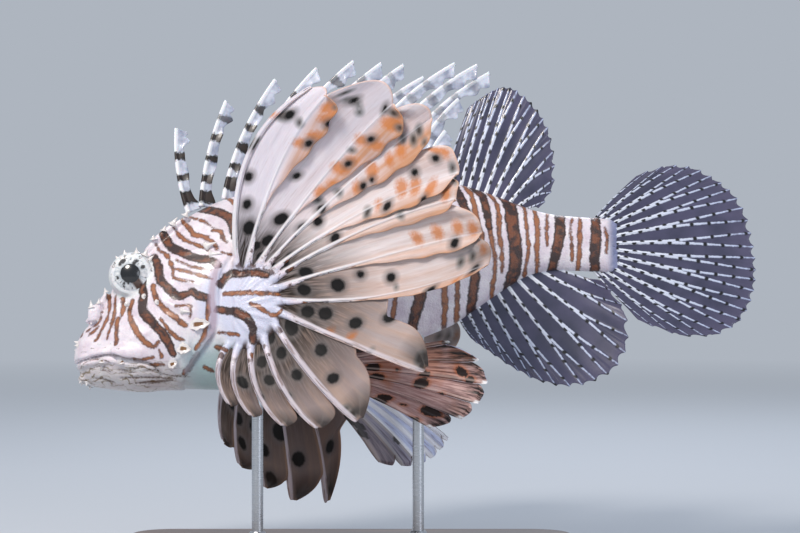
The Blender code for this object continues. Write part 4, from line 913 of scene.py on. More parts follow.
# Pectoral fins.
# Two great fans of fourteen rays, thin cast sheets with a raised white ray along each lobe. A flap of
# each lobe hangs over the next one; the lower rays end in free, rounded paddles.
RIGHT_SHIFT = ((0, 0, 0), (5, 0, 0), (7, -10, -6), (8, -12, -13), (9, -16, -20), (10, -15, -18), (13, -8, -5))
# For each ray, from the top one: the share along from which its lobe is free, the web's and the flap's
# widths, how far the web swells past the ray's tip, and the share from which the end is rounded.
FREE_FROM = (1, 1, 1, 0.9, 0.72, 0.9, 0.9, 0.9, *[0.5] * 6)
LOBE_WIDTHS = (30, 30, 30, 26, 16, 15, 17, 17, 16.5, 20, 15, 12.5, 10.5, 9)
BULGES = (0.0, 0.34, 0.42, 0.36, 0.2, 0.14, 0.26, 0.26, *[0.05] * 6)
ROUND_FROM = (*[1] * 8, 0.7, 0.6, *[0.78] * 4)
RIGHT_FREE_FROM = (1, 1, 1, 0.9, 0.72, 0.9, 0.9, 0.9, 0.6, 0.6, 0.82, 0.86, 0.86, 0.86)
RIGHT_WIDTHS = (30, 30, 30, 26, 16, 15, 17, 17, 14, 13, 17, 16, 14, 12)
FLAP_WIDTHS = (1.2, 12.5, 13.5, 11, 8.5, 6.5, 5.5, 4.5, 1.2, 1.1, 1.1, 1.1, 1.1, 1.1)
WEB_HALF = 0.26
RAY_HALF = (0.95, 0.42)
RAY_EDGE = 1.0
FLAP_CURL = 2.2
FIRST_WEB = 1.2


def beyond(shares, start):
    """0 up to the start, then evenly to 1 at the end."""
    return np.clip((shares - start) / max(1 - start, 1e-6), 0, 1)


def lobe(rays, i, free_from, web_width, flap_width, bulge, round_from):
    """Ray i of a fan with the web above it and the flap below it: its closed form and its marks.

    The marks are the share and the millimetres along, the millimetres across from the ray, the share across
    the web, and the millimetres in from the free edge and to the next ray.
    """
    ray = rays[i]
    phase = 1.7 * i
    s = np.linspace(0, 1, len(ray))
    across = rays[i - 1] - ray if i else ray - rays[1]
    spacing = np.linalg.norm(across, axis=1)
    across = unit(across)
    ahead = unit(np.gradient(ray, axis=0))
    ahead_above = unit(np.gradient(rays[i - 1], axis=0)) if i else ahead
    out = unit(np.cross(ahead, across))
    below = unit(ray - rays[i + 1]) if i + 1 < len(rays) else across
    run = np.concatenate([[0], np.cumsum(np.linalg.norm(np.diff(ray, axis=0), axis=1))])
    left = (1 - s) * run[-1]

    free = beyond(s, free_from)
    limited = np.clip(np.minimum(spacing - 0.55 - 0.9 * free, web_width), FIRST_WEB, None)
    width = np.where(free > 0, spacing + (limited - spacing) * step(free, 0, 0.18), spacing)
    width = width * (1 - 0.82 * beyond(s, round_from) ** 2.3)
    if i == 0:
        width = np.full(len(ray), FIRST_WEB)
    flap = np.full(len(ray), float(flap_width))
    if flap_width > 2:
        flap = flap * step(s, 0.22, 0.8) * (0.94 + 0.06 * np.sin(s * 41 + phase))
    flap = flap * np.sqrt(np.clip(1 - np.clip((s - 0.86) / 0.14, 0, 1) ** 2.2, 0.02, 1))
    flap_root = np.minimum(flap, RAY_EDGE)

    # Each column of the sheet: its points, millimetres across, share across, millimetres in from the edge.
    columns = []
    for share in np.linspace(1, 0, 12)[:-1]:
        away = flap_root + (flap - flap_root) * share
        wave = 0.25 * np.sin(run * 0.55 + phase) * share
        rise = (0.35 + 0.9 * step(share, 0, 0.5) + wave) * np.minimum(flap / 3, 1)
        tip_curl = FLAP_CURL * share**2 * step(s, 0.72, 0.92) * min(flap_width / 12, 1)
        place = ray - below * away[:, None] + out * (rise + tip_curl)[:, None]
        columns.append((place, -away, -share, np.maximum(flap - away, 0)))
    for share in (0.7, 0.35, 0):
        columns.append((ray - below * (flap_root * share)[:, None], -flap_root * share, 0, flap))
    over_ray = [share + 0 * s for share in (0.35, 0.7)]
    over_web = [RAY_EDGE + (width - RAY_EDGE) * share for share in np.linspace(0, 1, 22)[1:]]
    for away in over_ray + over_web:
        part = away / width
        swell = np.sin(np.pi * np.clip(part, 0, 1))
        sag = -0.045 * width * swell * (1 - 0.7 * free)
        ripple = 0.22 * np.sin(part * 9.5 + run * 0.09 + phase) * step(s, 0.25, 0.9)
        crown = 0.10 * width * swell * step(free, 0, 0.6)
        tuck = -0.55 * step(s, 0.0, 0.3) * step(part, 0.75, 1.0)
        place = ray + across * away[:, None] + out * (sag + ripple + crown + tuck)[:, None]
        # The free end is rounded: it runs past the ray's tip between the rays.
        past = bulge * width[-1] * swell ** 0.85 * step(s, 0.55, 1.0)
        if free_from < 1 and round_from == 1:
            past = past - 0.42 * width[-1] * np.clip((part - 0.55) / 0.45, 0, 1) ** 2 * step(s, 0.6, 1.0)
        place = place + (ahead + (ahead_above - ahead) * np.clip(part, 0, 1)[:, None]) * past[:, None]
        inwards = np.minimum(left, np.where(free > 0.02, width - away, 99)) if free_from < 1 else left
        columns.append((place, away, part, inwards))
    grid = np.stack([column[0] for column in columns], axis=1)
    away, part, edge = (np.stack([column[k] + 0 * s for column in columns], axis=1) for k in (1, 2, 3))
    edge = np.minimum(edge, left[:, None])
    ray_size = RAY_HALF[0] + (RAY_HALF[1] - RAY_HALF[0]) * s[:, None] + 0.5 * np.exp(-run / 14)[:, None]
    half = WEB_HALF + (ray_size - WEB_HALF) * np.clip(1 - (away / 0.95) ** 2, 0, 1) ** 0.7
    # Two finer branches stand up in the web.
    for branch in (0.34, 0.66):
        near = np.exp(-(((part - branch * (0.55 + 0.45 * s[:, None])) * width[:, None]) / 0.5) ** 2)
        half = half + 0.16 * near * step(s, 0.15, 0.5)[:, None]
    points, faces = slab(grid, half * (0.45 + 0.55 * step(edge, 0.0, 1.2)))
    marks = on_both_faces({
        "along": s[:, None], "ray_away": away, "web_share": part, "run": run[:, None], "edge_in": edge,
        "next_ray": width[:, None] - away, "lobe_number": i,
    }, part.shape)
    outside_first = points[:part.size, 1].mean() < points[part.size:, 1].mean()
    marks["inner_face"] = np.repeat([0.0, 1.0] if outside_first else [1.0, 0.0], part.size)
    return (points, faces), marks


# Spots of the fan: (ray, share along, millimetres across from the ray, radius), then its orange patches
# and grey streaks in the same way.
SPOTS = (
    (1, 0.807, 8.1, 1.9), (0, 0.605, 0.0, 1.3), (1, 0.466, 10.9, 1.7), (1, 0.335, 7.4, 1.4),
    (1, 0.227, 3.5, 2.3), (0, 0.109, -1.2, 1.9), (1, 0.713, -7.5, 1.5), (1, 0.841, -11.1, 1.3),
    (2, 0.508, 10.4, 1.4), (2, 0.287, 3.7, 2.3), (2, 0.174, 2.9, 2.1), (2, 0.875, 14.7, 1.3),
    (2, 0.947, 0.7, 1.3), (2, 0.795, -5.0, 1.3), (2, 0.643, -4.9, 1.3), (3, 0.389, 0.0, 1.9),
    (3, 0.279, -0.3, 1.9), (5, 0.368, 2.2, 2.1), (4, 0.153, -0.0, 1.9), (6, 0.173, 3.0, 2.3),
    (7, 0.136, 5.5, 2.3), (7, 0.289, 6.9, 2.5), (4, 0.913, 8.1, 1.3), (4, 0.799, 6.0, 1.3),
    (4, 0.650, -3.2, 1.8), (4, 0.846, -7.6, 1.5), (7, 0.398, 10.5, 1.5), (7, 0.534, 7.0, 1.9),
    (6, 0.868, -2.2, 1.7), (7, 0.745, -3.9, 1.9), (7, 0.933, -0.3, 1.7), (8, 0.164, 5.2, 2.3),
    (8, 0.255, 7.5, 2.5), (8, 0.437, 8.8, 2.3), (8, 0.602, 16.5, 2.3), (9, 0.382, 10.0, 2.3),
    (9, 0.610, 6.4, 2.2), (10, 0.429, 8.4, 2.1), (10, 0.583, -0.3, 1.8), (10, 0.215, 5.8, 2.1),
    (11, 0.402, 7.1, 2.1), (11, 0.219, 5.0, 2.1), (12, 0.453, 4.7, 2.5), (11, 0.589, 0.0, 1.8),
    (9, 0.127, 5.7, 2.9), (10, 0.063, 3.3, 2.1), (3, 0.644, -5.8, 0.8), (3, 0.599, -5.3, 1.3),
    (4, 0.063, 2.3, 2.1), (5, 0.117, 3.9, 1.7), (2, 0.097, 1.2, 1.9), (2, 0.136, 6.2, 1.7),
    (4, 0.332, 6.5, 1.5),
)
ORANGE = (
    (1, 0.916, -11.8, 4.0), (1, 0.705, -3.4, 2.2), (0, 0.783, 1.0, 1.8), (1, 0.930, -7.5, 3.6),
    (1, 0.870, -9.0, 3.0), (1, 0.760, -8.0, 2.4), (2, 0.769, -2.0, 2.6), (2, 0.777, -9.2, 2.6),
    (2, 0.911, -7.1, 4.0),
    (2, 0.982, -5.9, 3.1), (2, 0.607, -3.3, 3.1), (2, 0.661, -5.1, 2.2), (2, 0.471, -4.6, 3.1),
    (2, 0.526, -6.2, 2.2), (3, 0.662, -2.5, 3.1), (3, 0.753, -4.1, 2.2), (3, 0.817, -3.7, 2.6),
    (3, 0.571, -5.1, 2.6), (4, 0.942, 11.7, 2.6), (4, 0.961, 9.6, 2.2), (4, 0.724, 1.8, 3.1),
    (4, 0.789, 0.3, 3.1), (4, 0.874, -3.4, 3.1), (5, 0.942, 2.8, 2.6), (4, 0.604, -0.7, 1.8),
    (6, 0.701, 3.8, 2.6), (6, 0.794, 4.0, 2.6), (6, 0.887, 4.0, 2.6), (6, 0.962, 2.4, 2.6),
    (7, 0.971, 6.6, 1.8), (7, 0.933, -3.6, 1.8), (7, 0.867, -4.1, 1.8), (8, 0.337, 0.7, 1.8),
    (8, 0.464, 3.1, 1.8),
)
GREY = (
    (4, 0.549, -1.7, 2.6), (5, 0.705, -0.3, 2.2), (8, 0.629, 0.0, 1.8), (2, 0.938, 21.7, 2.2),
    (2, 0.840, 8.3, 1.8), (2, 0.911, -11.2, 2.6), (3, 0.844, 0.0, 2.2), (0, 0.631, -1.2, 2.6),
    (1, 0.798, 10.5, 3.1), (1, 0.798, 1.6, 2.2), (7, 0.717, -3.9, 1.3), (7, 0.552, 2.5, 1.3),
    (2, 0.706, -2.0, 1.8), (3, 0.490, 0.0, 2.2), (3, 0.417, 4.5, 2.2), (2, 0.964, -3.7, 2.6),
    (8, 0.981, 2.1, 3.4), (8, 0.945, 5.0, 3.4), (9, 0.934, 1.4, 3.1), (9, 0.869, 0.7, 2.6),
    (10, 0.864, -1.1, 2.2), (7, 0.848, 5.2, 2.2), (7, 0.905, 5.6, 2.2), (5, 0.990, 8.0, 2.2),
    (4, 0.971, 2.4, 2.2), (3, 0.936, -7.9, 2.2), (3, 0.926, -1.7, 2.6), (3, 0.890, -3.4, 2.6),
    (0, 0.270, 1.2, 1.3), (8, 0.237, -1.2, 2.2), (8, 0.137, 1.4, 2.2), (2, 0.885, 18.0, 1.6),
    (2, 0.880, 16.5, 1.6), (2, 0.865, 12.5, 1.6), (2, 0.855, 10.5, 1.4), (1, 0.94, -10.0, 1.6),
)
# Out on the upper lobes the black cores are smaller. The right fan's lower rays have spots of their own.
SPOTS = [
    (ray, share, off, radius * (1 if share < 0.35 or ray > 7 else 0.8)) for ray, share, off, radius in SPOTS
]
RIGHT_SPOTS = [spot for spot in SPOTS if spot[0] < 9] + [
    (12, 0.529, 2.0, 2.1), (12, 0.511, 11.1, 2.6), (12, 0.731, 4.6, 2.0), (11, 0.519, 10.8, 2.9),
    (11, 0.684, 2.8, 2.2), (10, 0.713, 5.4, 2.6), (11, 0.897, 5.4, 2.4), (13, 0.418, 7.3, 1.9),
    (9, 0.4, 8.0, 2.4), (10, 0.4, 7.0, 2.4), (9, 0.7, 6.0, 2.2),
]


def nearest_mark(marks, table, stretch, swell):
    """Distance from each point to the edge of the nearest spot of the table, along the surface."""
    found = np.full(len(marks["run"]), 9.0)
    for ray, share, off, radius in table:
        same = marks["lobe_number"] == ray
        run = marks["run"][same]
        length = run.max()
        apart = np.hypot((run - share * length) / stretch, marks["ray_away"][same] - off) - radius * swell
        found[same] = np.minimum(found[same], apart)
    return found


# Painted resin fin: pinkish cream with fine streaks along the rays, round black spots in grey haloes,
# orange patches on the flaps, white rays and dark roots between them.
fin_finish, tree, shader = new_finish("painted_resin_fin_satin")
lobe_number, along, run, ray_away = read("lobe_number"), read("along"), read("run"), read("ray_away")
streak_at = add("CombineXYZ", {
    0: ray_away, 1: calc("MULTIPLY", run, 0.07), 2: calc("MULTIPLY", lobe_number, 7.3),
})
streaks = noise(streak_at, 1.5, 2.5, 0.55)
clouds = noise(streak_at, 0.22, 3.0)
fine = noise(in_units(1000, 1000, 1000), 0.8, 3.0)
lower = ramp(lobe_number, 6.6, 8.4, high=0.85)
web = mix(ramp(clouds, 0.35, 0.65), "#E6DAD8", "#D2B9AF")
# Painted light: the upper lobes, nearest the light, are paler and bluer.
web = mix(ramp(lobe_number, 4.6, 1.2, high=0.8), web, "#DCD8E4")
web = mix(ramp(streaks, 0.5, 0.75, high=0.3), web, "#F4EEF2")
web = mix(ramp(streaks, 0.42, 0.25, high=0.25), web, "#A88074")
# Painted shade: the lower lobes, turned away from the light, are a darker taupe.
web = mix(lower, web, mix(ramp(clouds, 0.4, 0.6), "#83726F", "#A18A7E"))
# Flaps glow orange towards their free edges.
glow = calc("MULTIPLY", ramp(ray_away, -0.6, -5.0), ramp(along, 0.3, 0.5))
glow = calc("MULTIPLY", glow, ramp(clouds, 0.36, 0.6, 0.2, 0.9))
web = mix(glow, web, "#CB9066")
web = mix(ramp(frayed(read("orange"), fine, -0.5, 0.9), 1.9, -1.4, high=0.85), web, "#CC7E42")
web = mix(ramp(read("grey"), 1.2, -1.0, high=0.75), web, "#6C6F6E")
web = mix(ramp(read("grey"), -0.9, -2.4, high=0.85), web, "#2C241F")
# The inner face is painted darker as shade, with tan lines over the rays.
on_ray = calc("ABSOLUTE", ray_away)
near_ray = calc("MINIMUM", read("next_ray"), on_ray)
inner = mix(ramp(near_ray, 1.6, 0.5), "#66564F", "#A8815F")
web = mix(ramp(read("inner_face"), high=0.6), web, inner)
# Dark roots between the rays, and a warm rim along the free edges of all lobes but the first.
root_dark = ramp(run, ramp(lobe_number, 3.5, 6.0, 34.0, 52.0), 14.0)
web = mix(calc("MULTIPLY", root_dark, ramp(streaks, 0.35, 0.55, 0.65)), web, "#2A2019")
warm_rim = calc("MULTIPLY", ramp(lobe_number, 0.4, 0.6), ramp(lower, low=1.0, high=0.1))
warm_rim = calc("MULTIPLY", ramp(read("edge_in"), 1.3, 0.1, high=0.5), warm_rim)
web = mix(warm_rim, web, "#D9A582")
# Round black spots, each in a grey halo.
web = mix(ramp(read("spot"), 2.8, 0.2, high=0.75), web, "#66605F")
web = mix(ramp(frayed(read("spot"), fine, -0.2, 0.2), 0.7, -0.3), web, "#0C0A0A")
# The rays are white and broad at the root, and fade to a fine line; the lower ones stay broad.
ray_width = ramp(along, 0.0, 0.45, 2.0, 0.35)
ray_width = calc("MAXIMUM", ray_width, calc("MULTIPLY", lower, 1.6))
ray_cover = ramp(calc("SUBTRACT", on_ray, ray_width), 0.4, -0.3, high=0.9)
ray_fade = calc("MAXIMUM", ramp(along, 0.3, 0.75, 1.0, 0.45), lower)
breaks = calc("MULTIPLY", ramp(noise(streak_at, 1.1, 2.0), 0.55, 0.62, high=0.7), lower)
ray_paint = mix(breaks, mix(lower, "#F0ECEF", "#CBC2CC"), "#6B4A38")
web = mix(calc("MULTIPLY", ray_cover, ray_fade), web, ray_paint)
# The free lobes have dark tips.
tip_dark = calc("MULTIPLY", ramp(along, 0.78, 0.95), ramp(lobe_number, 6.5, 7.5, high=0.9))
web = mix(calc("MULTIPLY", tip_dark, ramp(ray_away, 1.0, 3.5, 0.1)), web, "#2E2A29")
connect(shader, {
    "Base Color": web, "Normal": bump(streaks, 0.2, 0.0003), "Roughness": 0.5, "IOR": 1.45,
    "Subsurface Weight": 0.15, "Subsurface Radius": (1.0, 0.6, 0.45), "Subsurface Scale": 0.001,
    "Specular IOR Level": 0.3,
})
# How each kind of mark is drawn: its name, how far it is drawn out along the rays, and its swelling.
MARK_KINDS = (("spot", 1.15, 1.1), ("orange", 0.75, 1.3), ("grey", 0.8, 1.2))


def paired_fin(name, node, rays, shapes, tables, finish, other_side=False):
    """A fan of lobes as a piece. shapes has a row for each thing that lobe() asks of a ray."""
    points, faces, marks = merged([lobe(rays, i, *[row[i] for row in shapes]) for i in range(len(rays))])
    for (key, stretch, swell), table in zip(MARK_KINDS, tables):
        marks[key] = nearest_mark(marks, table, stretch, swell)
    if other_side:
        points, faces = mirrored(points, faces)
    piece(name, points, faces, finish, "paired_fin", (node,), marks)


LEFT_SHAPES = (FREE_FROM, LOBE_WIDTHS, FLAP_WIDTHS, BULGES, ROUND_FROM)
RIGHT_SHAPES = (RIGHT_FREE_FROM, RIGHT_WIDTHS, FLAP_WIDTHS, BULGES, ROUND_FROM)
lowered_rays = pectoral_rays(edge_points(RIGHT_SHIFT, np.arange(len(PECTORAL_RAYS))))
paired_fin("pectoral_left_fan", "pectoral_fin_left", LEFT_RAYS, LEFT_SHAPES, (SPOTS, ORANGE, GREY),
           fin_finish)
paired_fin("pectoral_right_fan", "pectoral_fin_right", lowered_rays, RIGHT_SHAPES,
           (RIGHT_SPOTS, ORANGE, GREY), fin_finish, other_side=True)


# Spiny dorsal fin.
# Thirteen tall spines of cast resin, each a round tapered rod with a narrow strip of fin behind it that
# widens into a flag near the tip. Dark brown bands cross them.
SPINE_KEYS = (
    (0, -93.5, -100, 63), (1, -88, -78, 76), (2, -78, -56, 85.5), (3, -69, -37.5, 91), (4, -60, -21, 94.5),
    (5, -50.5, -8.5, 93), (6, -41.5, 1.5, 92.5), (7, -32.5, 10.5, 87), (8, -23.5, 24.5, 93),
    (9, -14.5, 34.5, 92.5), (10, -5.5, 40, 89), (11, 3.5, 26, 76.5), (12, 10, 20, 62),
)
SPINE_ROWS = 90
# How far each spine's first direction leans forward, and where its strip of fin starts behind its middle.
SPINE_BOWS = (11, *[4] * 12)
STRIP_START = 1.15
FIRST_BANDS = (6.8, 4.6, 7.6, 2.4, 2.0, 3.9, 5.3, 4.1, 2.1, 2.2, 4.3, 5.3, 3.7)


def spine(number, root_x, tip_x, tip_z):
    """One spine with its strip of fin, and its marks."""
    root = np.array([root_x, 0, float(spline(BACK_LINE, root_x + 2)) - 3.0])
    tip = np.array([tip_x, 0.0, tip_z])
    lean = tip - root
    s = np.linspace(0, 1, SPINE_ROWS)
    ray = curved_ray(root, tip, (lean[0] * 0.55 - SPINE_BOWS[number], 0, lean[2]), s)
    ray[:, 1] += 0.8 * np.sin(number * 2.1) * s**2
    ahead = unit(np.gradient(ray, axis=0))
    behind = np.stack([ahead[:, 2], 0 * s, -ahead[:, 0]], axis=1)
    length = np.linalg.norm(np.diff(ray, axis=0), axis=1).sum()
    flag = np.exp(-((s - 0.85) / 0.035) ** 2) * 1.9 + 1.3 * np.exp(-((s - 0.945) / 0.03) ** 2)
    notch = 1.1 * np.exp(-((s - 0.76) / 0.04) ** 2) + 0.5 * np.exp(-((s - 0.9) / 0.012) ** 2)
    strip_width = 4.3 + 0.4 * np.sin(s * 17 + number) + flag - notch
    strip_width = strip_width * (1 - step(s, 0.955, 1.0) * 0.85) + 1.6 * (1 - step(s, 0.03, 0.16))
    places = np.concatenate([[-STRIP_START, -0.9, -0.5, 0, 0.5, 0.9], np.linspace(STRIP_START, 5.6, 14)])
    share = np.clip((places - STRIP_START) / 4.45, 0, 1)
    strip = STRIP_START + (strip_width[:, None] - STRIP_START) * share[None]
    radius = (1.2 * (1 - s) + 0.5 * s)[:, None]
    away = np.where(places <= STRIP_START, places[None], strip)
    away = np.where(places <= STRIP_START, away * radius / 1.2, away)
    grid = ray[:, None] + behind[:, None] * away[..., None]
    grid[..., 1] += 0.5 * np.sin(s[:, None] * 15 + number) * share[None] ** 1.5
    half = 0.2 + (radius - 0.2) * np.sqrt(np.clip(1 - (away / (radius * 1.02)) ** 2, 0, 1))
    half = half * (1 - 0.45 * step(share[None], 0.8, 1.0))
    band = banding(s * length, length, number)[:, None] + 0 * away + 0.35 * np.sin(away * 0.9 + number)
    marks = {"along": s[:, None], "ray_away": away, "lobe_number": number, "band": band}
    return slab(grid, half), on_both_faces(marks, away.shape)


def banding(run, length, number):
    """Distance to the edge of the nearest dark band along a spine."""
    found = np.full(len(run), 9.0)
    at = FIRST_BANDS[number]
    while at < length - 7:
        share = at / length
        half = 1.95 - 0.4 * share + 0.3 * math.sin(at + number)
        if at < 9:
            half += 1.2
        found = np.minimum(found, np.abs(run - at) - half)
        at += 8.6 + 1.8 * share + 0.8 * math.sin(2 * at + number)
    return found


# Painted resin spines: bluish-white rods and glassy grey strips, crossed by dark brown bands.
spine_finish, tree, shader = new_finish("painted_resin_spines_satin")
in_mm = in_units(1000, 1000, 1000)
strip = mix(ramp(noise(in_mm, 0.25, 2.0), 0.35, 0.65), "#C2C9D8", "#8C93A8")
strip = mix(ramp(calc("ADD", read("ray_away"), 0.1), 1.5, 0.7), strip, "#EEF0F5")
band_edge = frayed(read("band"), noise(in_mm, 0.9, 3.0), -0.6, 0.6)
# The bands are fainter near the tips and on the rear spines.
strength = calc("MULTIPLY", ramp(read("along"), 0.7, 0.95, 1.0, 0.6),
                ramp(read("lobe_number"), 3.5, 6.5, 1.0, 0.45))
band_cover = calc("MULTIPLY", ramp(band_edge, 0.5, -0.4), strength)
strip = mix(band_cover, strip, mix(ramp(band_edge, -0.5, -1.8), "#120C0A", "#2A1C16"))
connect(shader, {
    "Base Color": strip, "Roughness": 0.38, "Coat Weight": 0.2,
    "Subsurface Weight": 0.1, "Subsurface Scale": 0.001,
})
spine_points, spine_faces, spine_marks = merged([spine(*key) for key in SPINE_KEYS])
piece("dorsal_spines", spine_points, spine_faces, spine_finish, "paired_fin", ("dorsal_fin_spiny",),
      spine_marks)


# Soft dorsal, tail and anal fins.
# Thin smoky sheets of clear tinted resin with branching white rays, each ray broken by small black spots.
SOFT_DORSAL_RAYS = 11
SOFT_DORSAL_EDGE = (
    (0, 30.5, 73), (0.2, 40, 80), (0.38, 49.5, 82.5), (0.55, 60.5, 73.5), (0.75, 68.3, 56), (0.9, 68.7, 36),
    (1, 63, 27),
)
SOFT_DORSAL_ROOTS = ((0, 19, 35), (0.5, 37, 30.5), (1, 54, 24.5))
CAUDAL_RAYS = 14
CAUDAL_EDGE = (
    (0, 106.5, 42.5), (0.1, 123.5, 47), (0.22, 139.5, 40.5), (0.36, 152, 27.5), (0.5, 156.5, 6),
    (0.65, 155.3, -12.5), (0.78, 147, -27), (0.9, 128, -32.5), (1, 106.5, -25.5),
)
ANAL_RAYS = 10
ANAL_EDGE = (
    (0, 31.5, -34), (0.14, 41, -41), (0.3, 56, -51), (0.5, 76, -54.8), (0.66, 92.5, -48.5), (0.8, 100, -34),
    (0.91, 98, -19), (1, 90, -8.5),
)
ANAL_ROOTS = ((0, 25, -22), (0.5, 44, -8.5), (1, 66, 0.5))
MEDIAN_ROWS = 96
MEDIAN_COLUMNS = 22
SPOT_SPACING = 6.6


def median_fin(roots, tips, firsts, side_bend=0.0, split_from=0.34, seed=0.0):
    """One webbed fin in the fish's mid plane as a single closed sheet, and its marks."""
    s = np.linspace(0, 1, MEDIAN_ROWS)
    rays = []
    for root, tip, first in zip(roots, tips, firsts):
        ray = curved_ray((root[0], 0, root[1]), (tip[0], 0, tip[1]), (first[0], 0, first[1]), s)
        ray[:, 1] -= side_bend * s**2
        rays.append(ray)
    count = len(rays)
    columns, off_line, line_number = [], [], []
    delta = 0.27 * step(s, split_from, 1.05)
    for i in range(count - 1):
        width = np.linalg.norm(rays[i + 1] - rays[i], axis=1)
        ahead = unit(np.gradient(rays[i], axis=0))
        for k in range(MEDIAN_COLUMNS + (i == count - 2)):
            share = k / MEDIAN_COLUMNS
            past = -0.16 * width[-1] * abs(math.sin(math.pi * 2 * (share - 0.25)))
            place = rays[i] * (1 - share) + rays[i + 1] * share + ahead * (past * step(s, 0.7, 1))[:, None]
            place[:, 1] += 0.16 * np.sin(share * math.tau + i) * s
            gaps = np.stack([np.abs(share - delta) * width, np.abs(1 - delta - share) * width])
            columns.append(place)
            off_line.append(gaps.min(axis=0))
            line_number.append(np.where(gaps[0] < gaps[1], i * 2.0 + 1, i * 2.0 + 2))
    off, number = np.stack(off_line, axis=1), np.stack(line_number, axis=1)
    length = np.linalg.norm(np.diff(rays, axis=1), axis=2).sum(axis=1).mean()
    run = s[:, None] * length
    # Black spots break each ray at even steps, set off from those of its neighbours.
    near = (run / SPOT_SPACING + np.floor((number + 1) / 2) * 0.47 + seed) % 1.0
    spot = np.hypot(np.minimum(near, 1 - near) * SPOT_SPACING, np.maximum(off - 0.25, 0))
    spot = np.where(run < 4, 3.0, spot - (0.95 - 0.3 * s[:, None]))
    half = 0.17 + (0.55 - 0.34 * s[:, None]) * np.exp(-(off / 0.36) ** 2)
    half = half * (1 - 0.4 * step(s, 0.95, 1.0))[:, None]
    marks = {"line_off": off, "along": s[:, None], "spot": spot}
    return slab(np.stack(columns, axis=1), half), on_both_faces(marks, off.shape)


# Smoky clear resin: slate purple web that lets a little light through, bluish white rays.
clear_finish, tree, shader = new_finish("smoked_clear_resin_fin")
in_mm = in_units(1000, 1000, 1000)
along = read("along")
web = mix(ramp(noise(in_mm, 0.07, 3.0), 0.35, 0.65), "#34364E", "#4C4A66")
web = mix(ramp(along, 0.8, 1.0, high=0.5), web, "#5E5874")
line_at = frayed(read("line_off"), noise(in_mm, 0.9, 3.0), -0.12, 0.12)
line_cover = ramp(calc("SUBTRACT", line_at, ramp(along, low=0.88, high=0.28)), 0.16, -0.16)
web = mix(line_cover, web, mix(along, "#EDF1F8", "#AEB9D6"))
spot_cover = ramp(read("spot"), 0.25, -0.25)
connect(shader, {
    "Base Color": mix(spot_cover, web, "#0F0D12"),
    "Alpha": ramp(calc("MAXIMUM", line_cover, spot_cover), low=0.86),
    "Roughness": 0.3, "Coat Weight": 0.25,
})

shares = np.linspace(0, 1, SOFT_DORSAL_RAYS)
tips, roots = edge_points(SOFT_DORSAL_EDGE, shares), edge_points(SOFT_DORSAL_ROOTS, shares)
form, marks = median_fin(roots, tips, (tips - roots) * (0.85, 1.0) + (0, 4), seed=0.2)
piece("soft_dorsal_sheet", *form, clear_finish, "clear_fin", ("dorsal_fin_soft",), marks)

shares = np.linspace(0, 1, CAUDAL_RAYS)
tips = edge_points(CAUDAL_EDGE, shares)
roots = np.stack([84 + 2 * np.sin(shares * math.pi), 9.5 + 10.5 * (1 - 2 * shares)], 1)
form, marks = median_fin(roots, tips, (tips - roots) * (1.0, 1.15), split_from=0.22, seed=0.5)
piece("tail_sheet", *form, clear_finish, "clear_fin", ("caudal_fin",), marks)

shares = np.linspace(0, 1, ANAL_RAYS)
tips, roots = edge_points(ANAL_EDGE, shares), edge_points(ANAL_ROOTS, shares)
form, marks = median_fin(roots, tips, (tips - roots) * (1.0, 1.1), side_bend=7.0, seed=0.8)
piece("anal_sheet", *form, clear_finish, "clear_fin", ("anal_fin",), marks)


# Pelvic fins.
# Two smaller fans under the belly, cast like the pectorals: reddish brown with orange streaks, black
# spots and a smoky, ragged margin with white points at the ray tips.
PELVIC_ROOT = np.array([-41.0, -6.5, -48.0])
PELVIC_ROOT_STEP = np.array([1.9, -0.9, 0.75])
PELVIC_LEFT = ((13, -75, 20), (26, -72, 25), (33, -66, 29), (36.5, -58, 32), (33, -48, 32), (21, -40, 29))
PELVIC_RIGHT = ((-9, -84, 13), (1, -85, 17), (8, -84, 20), (14, -81, 22), (18, -77, 23), (21, -73, 22))
PELVIC_SPOTS = (
    (2, 0.319, 0.7, 2.5), (3, 0.373, -1.1, 2.9), (3, 0.629, 1.5, 2.5), (2, 0.629, -1.0, 2.1),
    (5, 0.565, 2.9, 2.1), (5, 0.832, 7.9, 2.9), (5, 0.869, 9.3, 2.1), (5, 0.583, -1.1, 2.5),
    (5, 0.878, -1.1, 1.7), (5, 0.693, 3.7, 0.8), (2, 0.464, 0.3, 0.8), (3, 0.776, -1.1, 0.8),
    (0, 0.972, -0.7, 1.7), (2, 0.851, 3.2, 2.1), (2, 0.897, 0.0, 1.7),
)
PELVIC_RIGHT_SPOTS = ((4, 0.776, 6.5, 1.9), (5, 0.54, 0.5, 2.4), (5, 0.6, 2.0, 2.1), (5, 0.69, 1.0, 2.0))


def pelvic_rays(tips):
    rays = []
    for i, (tip_x, tip_z, out) in enumerate(tips):
        root = PELVIC_ROOT + PELVIC_ROOT_STEP * i
        tip = np.array([tip_x, PELVIC_ROOT[1] - out, tip_z])
        lean = tip - root
        first = lean * (1, 0.6, 0.8) + (0, 0, 0.06 * np.linalg.norm(lean))
        rays.append(curved_ray(root, tip, first, np.linspace(0, 1, RAY_ROWS)))
    return np.array(rays[::-1])


